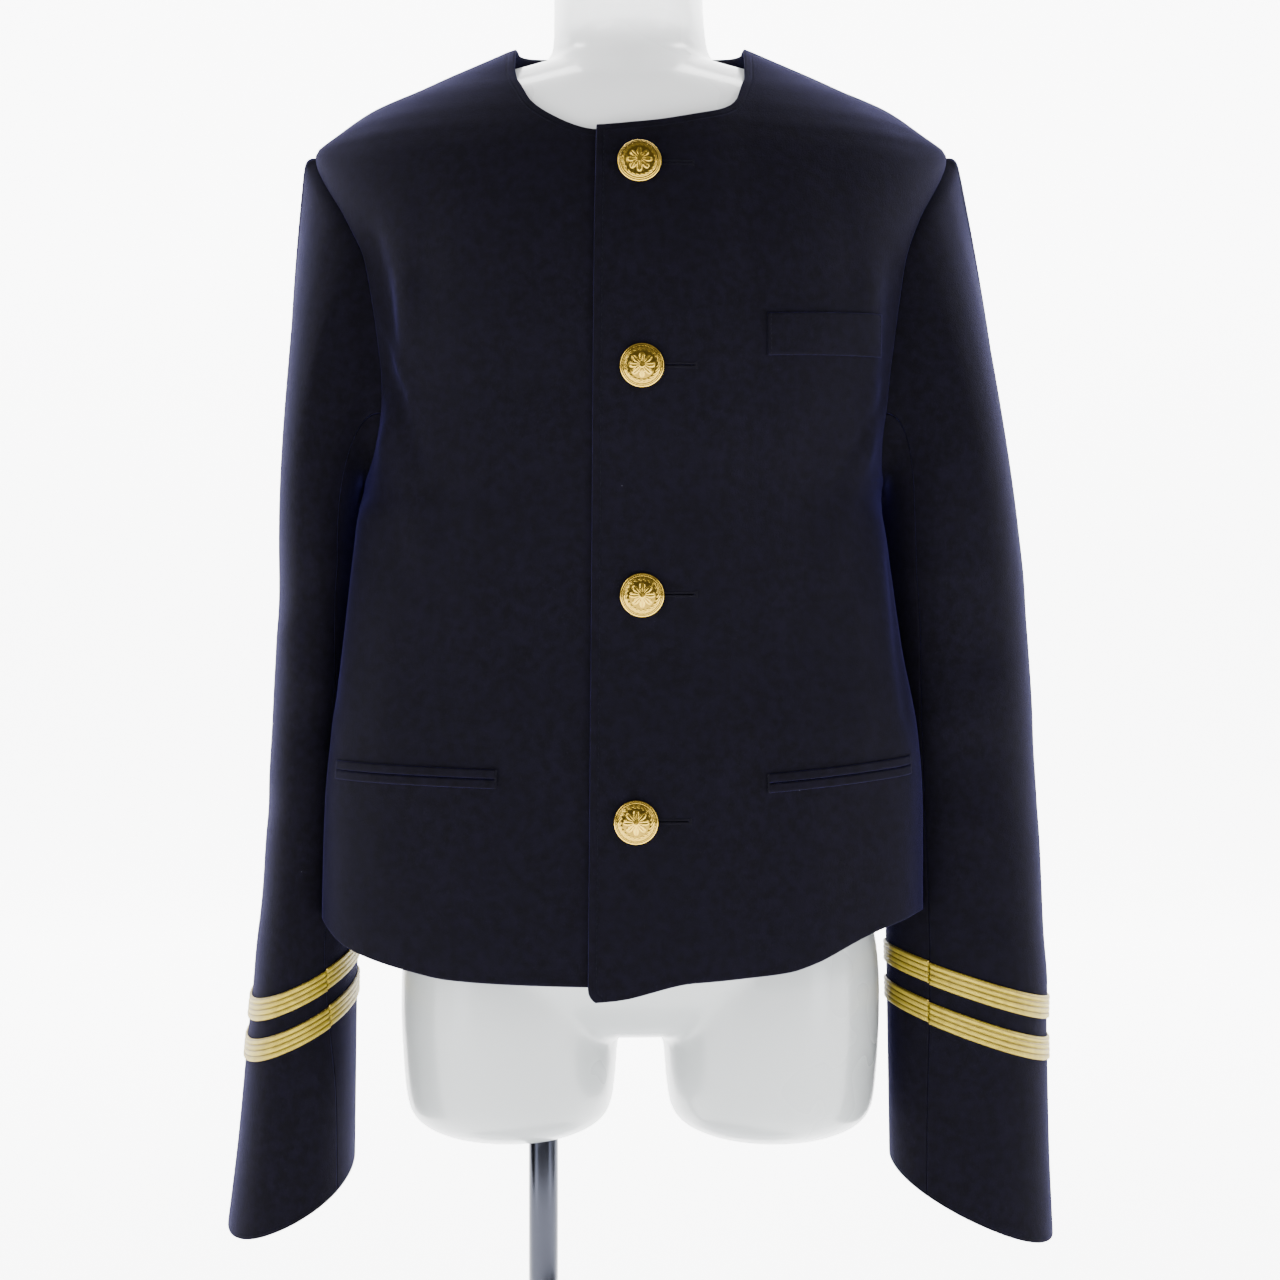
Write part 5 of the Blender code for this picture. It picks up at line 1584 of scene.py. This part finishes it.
def button(number):
    """A dome, its rolled rim, a flat back and a short shank, all one closed mesh."""
    r = BUTTON_RADIUS
    under = LAP_LIFT + BUTTON_CLEAR + r * math.sin(math.radians(BUTTON_DROOPS[number - 1]))
    inner = np.linspace(0.02, 0.93, DOME_RINGS)
    rise = np.cos(inner * math.radians(DOME_ANGLES[0]))
    flat = math.cos(math.radians(DOME_ANGLES[1]))
    dome = under + BUTTON_EDGE + (rise - flat) / (1 - flat) * (BUTTON_DOME - BUTTON_EDGE)
    rings = [(share * r, level, share, 1.0) for share, level in zip(inner, dome)]
    for t in np.radians(np.linspace(150, -80, 12)):
        across = r - RIM_BEAD + RIM_BEAD * math.cos(t)
        rings.append((across, under + RIM_RAISE + RIM_BEAD * math.sin(t), 1.0, 0.0))
    for radius, level in ((r * 0.90, under + SEAT), (SHANK_RADIUS, under), (SHANK_RADIUS, SEAT)):
        rings.append((radius, level, 1.0, 0.0))
    turns = np.linspace(0, 2 * math.pi, BUTTON_TURNS, endpoint=False)
    p, n, sideways, up = button_frame(number)
    points = [p + n * (under + BUTTON_DOME + STAMP_DEPTH)]
    recess_shade = [0.0]
    for radius, level, share, stamped in rings:
        relief, dark = stamp(np.full(BUTTON_TURNS, share), turns)
        level = level + relief * STAMP_DEPTH * stamped
        for i, t in enumerate(turns):
            round_axis = sideways * (radius * math.cos(t)) + up * (radius * math.sin(t))
            points.append(p + n * level[i] + round_axis)
        recess_shade += list(dark * stamped)
    points.append(p + n * SEAT)
    recess_shade.append(0.0)
    faces = []
    for i in range(BUTTON_TURNS):
        j = (i + 1) % BUTTON_TURNS
        faces.append([0, 1 + i, 1 + j])
        for ring in range(len(rings) - 1):
            a = 1 + ring * BUTTON_TURNS
            b = a + BUTTON_TURNS
            faces.append([a + i, b + i, b + j, a + j])
        last = 1 + (len(rings) - 1) * BUTTON_TURNS
        faces.append([last + i, len(points) - 1, last + j])
    name = f"gilt_button_{number}"
    return keep(name, [list(q) for q in points], faces, BUTTON_GOLD, values={"recess_shade": np.array(recess_shade)})


buttons = [button(number) for number in range(1, len(BUTTON_PLACES) + 1)]
print("buttons:", len(buttons))

# %% [markdown]
# ## Dress form and stand
# The form is a loft of the same body surface, a little smaller, with two thigh stumps. Its
# parts are merged as one skin and smoothed, because a moulded form has no hard joins. The
# pole runs up into one thigh and its lower end stands in a round steel foot.

# %% Form, pole and foot
FORM_TURNS = 128
VOXEL = 0.0033
FLOOR_LEVEL = 0.300
NECK_TAPER = 0.93
ROUND_OFF = 0.0006
TORSO_HEIGHTS = (0.315, 0.335, 0.375, 0.42, 0.47, 0.52, 0.565, 0.61, 0.65, 0.685, 0.712, 0.732,
                 0.741, 0.750, 0.758, 0.766, 0.7765, 0.787, 0.793, 0.800, 0.808, 0.822, 0.845)


def smooth_rings(rings, steps):
    """Rings between the given rings, on smooth curves through their points."""
    flat = np.array([r.reshape(-1) for r in rings])
    knots = np.arange(len(rings), dtype=float)
    fine = np.linspace(0, knots[-1], (len(rings) - 1) * steps + 1)
    return [row.reshape(-1, 3) for row in through(knots, flat, fine)]


def loft(name, rings, material):
    """A closed skin over rings of equally many points."""
    count = len(rings[0])
    points = np.concatenate([*rings, [rings[0].mean(axis=0)], [rings[-1].mean(axis=0)]])
    low, high = len(points) - 2, len(points) - 1
    faces = []
    for i in range(count):
        j = (i + 1) % count
        faces.append([low, j, i])
        for k in range(len(rings) - 1):
            a = k * count
            faces.append([a + i, a + j, a + count + j, a + count + i])
        a = (len(rings) - 1) * count
        faces.append([a + i, a + j, high])
    return keep(name, points, faces, material)


torso_rings = []
for height, across, deep in FORM_FLOOR:
    ring = form_ring(FLOOR_LEVEL, FORM_TURNS, across, deep)
    ring[:, 2] = height
    torso_rings.append(ring)
torso_rings += [form_ring(h, FORM_TURNS) for h in TORSO_HEIGHTS]
torso_rings.append(form_ring(FORM_TOP, FORM_TURNS, NECK_TAPER, NECK_TAPER))
white_form = loft("white_form", smooth_rings(torso_rings, 4), WHITE)


def round_rings(profile, place, count, deeper=1.0):
    """Level rings round a place, from a profile of height and radius."""
    turns = np.linspace(0, 2 * math.pi, count, endpoint=False)
    rings = []
    for height, radius in profile:
        x = place[0] + radius * np.cos(turns)
        y = place[1] + radius * deeper * np.sin(turns)
        rings.append(np.stack([x, y, height + 0 * x], axis=1))
    return rings


for number, centre in enumerate(STUMP_CENTRES):
    levels = round_rings(STUMPS, (centre, POLE_Y), FORM_TURNS, STUMP_DEEPER)
    thigh = loft(f"thigh_{number}", smooth_rings(levels, 4), WHITE)
    apply_boolean(white_form, thigh, "UNION")
apply_modifier(white_form, "REMESH", mode="VOXEL", voxel_size=VOXEL)
apply_modifier(white_form, "SMOOTH", factor=0.5, iterations=8)
white_form.data.shade_smooth()
white_form.data.materials.clear()
white_form.data.materials.append(WHITE)


def spun(name, profile, place, material, count):
    """A round piece from a profile of height and radius, closed at both ends."""
    return loft(name, round_rings(profile, place, count), material)


low = BASE_THICK - BASE_SOCKET + SEAM_GAP
high = STUMP_LOW + POLE_SOCKET - SEAM_GAP
thin = POLE_RADIUS - ROUND_OFF
pole_profile = [(low, thin), (low + ROUND_OFF, POLE_RADIUS), (high - ROUND_OFF, POLE_RADIUS), (high, thin)]
chrome_pole = spun("chrome_pole", pole_profile, (POLE_X, POLE_Y), CHROME, 64)

half = BASE_THICK * 0.5
foot_profile = [(0.0, BASE_RADIUS - 0.003), (0.0006, BASE_RADIUS - 0.0008), (0.002, BASE_RADIUS)]
foot_profile.append((half, BASE_RADIUS))
for t in np.radians(np.linspace(12, 90, 9)):
    foot_profile.append((half + half * math.sin(t), BASE_RADIUS - half * (1 - math.cos(t))))
round_foot = spun("round_foot", foot_profile, (BASE_X, 0.0), STEEL, 160)

# The ferrule round the pole: rise over the foot, reach past the pole
FERRULE = ((-0.0010, 0.0002), (-0.0010, 0.0030), (0.0015, 0.0030), (0.0022, 0.0022), (0.0022, 0.0002))
ferrule_profile = [(BASE_THICK + rise, POLE_RADIUS + reach) for rise, reach in FERRULE]
foot_ferrule = spun("foot_ferrule", ferrule_profile, (POLE_X, POLE_Y), CHROME, 64)
print("form and stand:", len(white_form.data.polygons), "faces on the form")

# %% [markdown]
# ## Stitching
# Thread is the same small piece again and again, so it comes from one Geometry Nodes group.
# Its inputs are the pitch, length, width, turn, slant and seed of the stitches. Drawing each
# stitch by hand would give the same look, with thousands of places to keep in step.

# %% One group for every kind of stitch
def stitch_group():
    """Places thread on lines of points, each with its own outward direction."""
    group = bpy.data.node_groups.new("Stitch Run", "GeometryNodeTree")
    for label, kind, value in (
            ("Geometry", "NodeSocketGeometry", None), ("Pitch", "NodeSocketFloat", 0.003),
            ("Length", "NodeSocketFloat", 0.002), ("Width", "NodeSocketFloat", 0.0004),
            ("Turn", "NodeSocketFloat", 0.0), ("Slant", "NodeSocketFloat", 0.05),
            ("Seed", "NodeSocketInt", 1), ("Thread", "NodeSocketMaterial", None)):
        socket = group.interface.new_socket(label, in_out="INPUT", socket_type=kind)
        if value is not None:
            socket.default_value = value
    group.interface.new_socket("Geometry", in_out="OUTPUT", socket_type="NodeSocketGeometry")
    start, end = group.nodes.new("NodeGroupInput"), group.nodes.new("NodeGroupOutput")
    line = add(group, "GeometryNodeMeshToCurve", {"Mesh": start.outputs["Geometry"]})
    even = add(group, "GeometryNodeResampleCurve",
               {"Curve": line.outputs[0], "Length": start.outputs["Pitch"]}, mode="LENGTH")
    out = add(group, "GeometryNodeInputNamedAttribute", data_type="FLOAT_VECTOR")
    out.inputs["Name"].default_value = "out"
    tangent = add(group, "GeometryNodeInputTangent")
    ahead = add(group, "FunctionNodeAlignRotationToVector", {"Vector": tangent.outputs[0]}, axis="X")
    flat = add(group, "FunctionNodeAlignRotationToVector",
               {"Rotation": ahead.outputs[0], "Vector": out.outputs["Attribute"]}, axis="Z", pivot_axis="X")
    jitter = add(group, "FunctionNodeRandomValue",
                 {"Min": -1.0, "Max": 1.0, "Seed": start.outputs["Seed"]}, data_type="FLOAT")
    turn = maths(group, "MULTIPLY_ADD",
                 jitter.outputs["Value"], start.outputs["Slant"], start.outputs["Turn"])
    spin = add(group, "ShaderNodeCombineXYZ", {"Z": turn})
    turned_by = add(group, "FunctionNodeEulerToRotation", {"Euler": spin.outputs[0]})
    placed = add(group, "FunctionNodeRotateRotation",
                 {"Rotation": flat.outputs[0], "Rotate By": turned_by.outputs[0]}, rotation_space="LOCAL")
    bead = add(group, "GeometryNodeMeshUVSphere", {"Segments": 8, "Rings": 5, "Radius": 0.5})
    size = add(group, "ShaderNodeCombineXYZ", {"X": start.outputs["Length"], "Y": start.outputs["Width"],
                                               "Z": start.outputs["Width"]})
    laid = add(group, "GeometryNodeInstanceOnPoints",
               {"Points": even.outputs[0], "Instance": bead.outputs["Mesh"], "Rotation": placed.outputs[0],
                "Scale": size.outputs[0]})
    real = add(group, "GeometryNodeRealizeInstances", {"Geometry": laid.outputs[0]})
    soft = add(group, "GeometryNodeSetShadeSmooth", {"Geometry": real.outputs[0]})
    done = add(group, "GeometryNodeSetMaterial",
               {"Geometry": soft.outputs[0], "Material": start.outputs["Thread"]})
    group.links.new(done.outputs[0], end.inputs[0])
    return group


STITCH = stitch_group()


def stitched(name, lines, thread, **settings):
    """Thread along lines; each line is a list of points and the outward way at each."""
    mesh = bpy.data.meshes.new(name)
    points = np.concatenate([line[0] for line in lines]) + np.array([MIDDLE_X, 0, 0])
    out = np.concatenate([line[1] for line in lines])
    edges = []
    start = 0
    for line in lines:
        count = len(line[0])
        edges += [(start + i, start + i + 1) for i in range(count - 1)]
        if len(line) > 2 and line[2]:
            edges.append((start + count - 1, start))
        start += count
    mesh.from_pydata(points.tolist(), edges, [])
    mesh.attributes.new("out", "FLOAT_VECTOR", "POINT").data.foreach_set("vector", out.ravel())
    made = in_scene(name, mesh)
    modifier = made.modifiers.new("stitches", "NODES")
    modifier.node_group = STITCH
    settings["Thread"] = thread
    for item in STITCH.interface.items_tree:
        if item.item_type == "SOCKET" and item.in_out == "INPUT" and item.name in settings:
            modifier[item.identifier] = settings[item.name]
    make_plain(made)
    return made


# %% Where the stitches run
EDGE_INSET = 0.0045
NECK_INSET = 0.0045
HEM_INSET = 0.004
EDGE_SAMPLES = 160
BAR_HALF = 0.0017
BAR_OFF = 0.0002
SEWN_INSET = 0.0004


def on_body(angle, height, lift):
    """Points a little above the body cloth, and the outward way at each."""
    n = body_facing(angle, height)
    return body(angle, height) + n * np.reshape(lift, (-1, 1)), n


def down_edge(inset):
    """A line down the over front, at a distance in from its free edge."""
    height = np.linspace(FRONT_NECK - NECK_INSET, FRONT_HEM + HEM_INSET, EDGE_SAMPLES)
    angle = angle_at(over_edge(height) + inset, height)
    return on_body(angle, height, lap_lift(angle, height) - ON_CLOTH)


def on_lap(points, lift):
    """Points moved onto the over front where it laps the under front."""
    points = np.array([list(q) for q in points])
    angle = angle_at(points[:, 0], points[:, 2])
    return on_body(angle, points[:, 2], lap_lift(angle, points[:, 2]) + lift)


def purl_line(across, height):
    """The bound edge of a buttonhole, a closed line on the lifted lap."""
    points, _ = hole_outline(across, height, PURL_INSET, PURL_START, SLIT_END, PURL_POINTS)
    return *on_lap(points, 0.00002), True


def end_bar(across, height):
    """A short bar tack across the outer end of a buttonhole."""
    p, _, sideways, up = body_frame(across, height)
    rise = np.linspace(-BAR_HALF, BAR_HALF, 12) + SLIT_RISE
    return on_lap([p + sideways * (SLIT_END + BAR_OFF) + up * h for h in rise], 0.00012)


def strip_ends(cut, thick, inset, count):
    """Short lines across both ends of a pocket strip."""
    lines = []
    for share in (inset, 1 - inset):
        v = np.linspace(0.06, 0.94, count)
        angle, height = cut(0 * v + share, v)
        lines.append(on_body(angle, height, 0 * v + thick + 0.00008))
    return lines


def lip_tacks(side):
    """A dense bar of thread across both ends of a hip pocket."""
    lines = []
    for angle, middle in slit_ends(side):
        height = middle + np.linspace(-JET_WIDTH, JET_WIDTH, 30)
        lines.append(on_body(0 * height + side * angle, height, 0 * height + LIP_THICK * 0.75))
    return lines


def braid_edges(side, piece, level_rise):
    """Lines just inside both edges of a braid, where it is sewn to the sleeve."""
    lines = []
    low = braid_low(side, piece, level_rise)
    for height in (low + SEWN_INSET, low + BRAID_WIDTH - SEWN_INSET):
        u = np.linspace(0.005, 0.995, 150)
        v = 0 * u + share_at(side, height)
        outer, inner = sleeve_wall(side, piece, ON_CLOTH, BRAID_THICK)(u, v)
        way = sleeve_facing(side, sleeve_turn(side, piece, u, v), v)
        lines.append((inner + (outer - inner) * 0.55, way))
    return lines


ACROSS = math.pi / 2
hole_lines = [purl_line(*place) for place in BUTTON_PLACES]
bar_lines = [end_bar(*place) for place in BUTTON_PLACES]
tack_lines = strip_ends(welt_cut, WELT_THICK, 0.028, 30)

# name, lines, pitch, length, width, turn, slant, seed
NAVY_RUNS = (
    ("edge_stitches", [down_edge(EDGE_INSET)], 0.0033, 0.0021, 0.00042, 0.0, 0.06, 3),
    ("buttonhole_purl", hole_lines, 0.00048, 0.0016, 0.00050, ACROSS, 0.10, 5),
    ("buttonhole_bars", bar_lines, 0.00045, 0.0016, 0.00050, ACROSS, 0.08, 7),
    ("welt_tacks", tack_lines, 0.0024, 0.0016, 0.00040, 0.0, 0.06, 9),
    ("pocket_bars", lip_tacks(-1) + lip_tacks(1), 0.0005, 0.0015, 0.00052, ACROSS, 0.08, 11),
)
navy_stitches = []
for name, lines, pitch, length, width, turn, slant, seed in NAVY_RUNS:
    navy_stitches.append(stitched(name, lines, THREAD, Pitch=pitch, Length=length, Width=width,
                                  Turn=turn, Slant=slant, Seed=seed))
braid_lines = {"left": [], "right": []}
for label, side in SIDES:
    for piece in ("top", "under"):
        for level, rise in BRAID_HEIGHTS:
            braid_lines[label] += braid_edges(side, piece, rise)
braid_stitches = []
for label, lines in braid_lines.items():
    braid_stitches.append(stitched(f"braid_stitches_{label}", lines, GOLD_THREAD, Pitch=0.0026,
                                   Length=0.0013, Width=0.00045, Slant=0.35, Seed=13))
print("stitch runs:", len(navy_stitches) + len(braid_stitches))

# %% [markdown]
# ## Floor, light and camera
# The picture is high key: a white room and soft light from every side, some of it from both
# rear sides, which brings out the fuzz of the wool. A dark room with spots would show the
# folds better, but it would not be how this cloth is seen.

# %% Set the stage
FRONT_GLOW = 0.34
REAR_GLOW = 2.0
FLOOR_FROM = -4.0
FLOOR_TO = 2.2
SWEEP_RADIUS = 1.2
WALL_TOP = 5.0
WALL_HALF = 14.0

# The photo's scale at the middle of the form, its middle and the form's, in its own pixels
PIXEL = 0.00058
PHOTO_MIDDLE = 640
FORM_MIDDLE = 630
CAMERA_BACK = 1.4
CAMERA_HEIGHT = 0.450
LENS = 67.9


def sweep(name, material):
    """A floor that curves up into a backdrop."""
    line = [(FLOOR_FROM, 0.0), (FLOOR_TO, 0.0)]
    for t in np.radians(np.linspace(8, 90, 12)):
        line.append((FLOOR_TO + SWEEP_RADIUS * math.sin(t), SWEEP_RADIUS * (1 - math.cos(t))))
    line.append((FLOOR_TO + SWEEP_RADIUS, WALL_TOP))
    points = [(x, y, z) for y, z in line for x in (-WALL_HALF, WALL_HALF)]
    faces = [[2 * i, 2 * i + 1, 2 * i + 3, 2 * i + 2] for i in range(len(line) - 1)]
    mesh = bpy.data.meshes.new(name)
    mesh.from_pydata(points, [], faces)
    mesh.shade_smooth()
    mesh.materials.append(material)
    return in_scene(name, mesh)


PAPER, _, _ = material("pale_paper", (0.88, 0.88, 0.89), Roughness=0.9,
                       Emission_Color=(1, 1, 1, 1), Emission_Strength=5.0)
floor = sweep("studio_sweep", PAPER)
floor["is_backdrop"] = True

world = bpy.data.worlds.new("white_room")
bpy.context.scene.world = world
world.use_nodes = True
room = world.node_tree
way = add(room, "ShaderNodeTexCoord").outputs["Generated"]
behind = add(room, "ShaderNodeSeparateXYZ", {"Vector": way})
lowered = maths(room, "MULTIPLY_ADD", behind.outputs["Z"], -0.9, behind.outputs["Y"])
strength = spread(room, lowered, -0.55, 0.25, FRONT_GLOW, REAR_GLOW)
room.nodes["Background"].inputs["Color"].default_value = (1.0, 1.0, 1.02, 1)
room.links.new(strength, room.nodes["Background"].inputs["Strength"])


# name, place, aim, size, watts, colour
SOFTBOXES = (
    ("rear_left", (-1.7, 1.0, 1.1), (0, 0, 0.5), (0.8, 1.8), 16, (0.93, 0.95, 1.0)),
    ("rear_right", (1.7, 1.0, 1.1), (0, 0, 0.5), (0.8, 1.8), 16, (0.93, 0.95, 1.0)),
    ("front_left", (-1.5, -1.7, 1.5), (0, 0, 0.5), (0.7, 1.2), 26, (1, 1, 1)),
    ("front_right", (1.7, -1.5, 1.2), (0, 0, 0.5), (0.5, 1.2), 16, (1, 1, 1)),
    ("low_left", (-1.2, -0.9, 0.12), (-0.2, 0, 0.25), (0.5, 0.5), 4.5, (0.84, 0.88, 1.0)),
    ("low_right", (1.2, -0.9, 0.12), (0.2, 0, 0.25), (0.5, 0.5), 4.5, (0.84, 0.88, 1.0)),
    ("backdrop", (0, 1.2, 3.2), (0, 3.0, 0.5), (4.0, 1.0), 260, (1, 1, 1)),
)
for name, place, aim, size, watts, colour in SOFTBOXES:
    lamp = bpy.data.lights.new(name, "AREA")
    lamp.shape = "RECTANGLE"
    lamp.size, lamp.size_y = size
    lamp.energy = watts
    lamp.color = colour
    box = in_scene(name, lamp)
    box.location = place
    box.rotation_euler = (Vector(aim) - Vector(place)).to_track_quat("-Z", "Y").to_euler()

camera_data = bpy.data.cameras.new("photo_camera")
camera_data.sensor_width = 36.0
camera_data.lens = LENS
camera = in_scene("photo_camera", camera_data)
camera.location = ((PHOTO_MIDDLE - FORM_MIDDLE) * PIXEL + MIDDLE_X, -CAMERA_BACK, CAMERA_HEIGHT)
camera.rotation_euler = (math.radians(90), 0, 0)
bpy.context.scene.camera = camera
print("stage set")

# %% [markdown]
# ## Tie every piece to its solid
# Each piece rides on the one body and hides the solids that it stands for. The cut sizes of
# the cloth come from the grids above, so they cannot drift.

# %% Ride and replace
def stands_for(piece, slot_name, *nodes):
    """A piece rides on the one body and stands for its nodes; slot_name is not used."""
    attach(piece, "root")
    if nodes:
        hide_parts(*nodes)


def cut_cloth(piece, slot_name, node):
    stands_for(piece, slot_name, node)


cut_cloth(back_panel, "navy_wool", "back")
cut_cloth(under_front, "navy_wool", "front_right")
cut_cloth(over_front, "navy_wool", "front_left")
for (piece, label), cloth in sleeve_pieces.items():
    cut_cloth(cloth, "navy_wool", f"sleeve_{piece}_{label}")
for (level, piece, label), band in braid_pieces.items():
    cut_cloth(band, "gold_braid", f"braid_{level}_{piece}_{label}")
cut_cloth(breast_strip, "navy_wool", "breast_welt")
for (name, label), lip in lips.items():
    stands_for(lip, "navy_wool", f"hip_jet_{name}_{label}")
for number, made in enumerate(buttons, 1):
    stands_for(made, "gold_metal", f"button_{number}")
stands_for(white_form, "white_gloss", "form_body")
stands_for(chrome_pole, "chrome", "pole")
stands_for(round_foot, "stand_steel", "stand_base")
stands_for(foot_ferrule, "chrome")
for made in navy_stitches:
    stands_for(made, "navy_wool")
for made in braid_stitches:
    stands_for(made, "gold_braid")

# %% Write down the sizes
low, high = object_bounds()
for name, (width, length, area) in CUTS.items():
    print(f"cut {name}: {width:.3f} x {length:.3f} m, {area:.4f} m2")
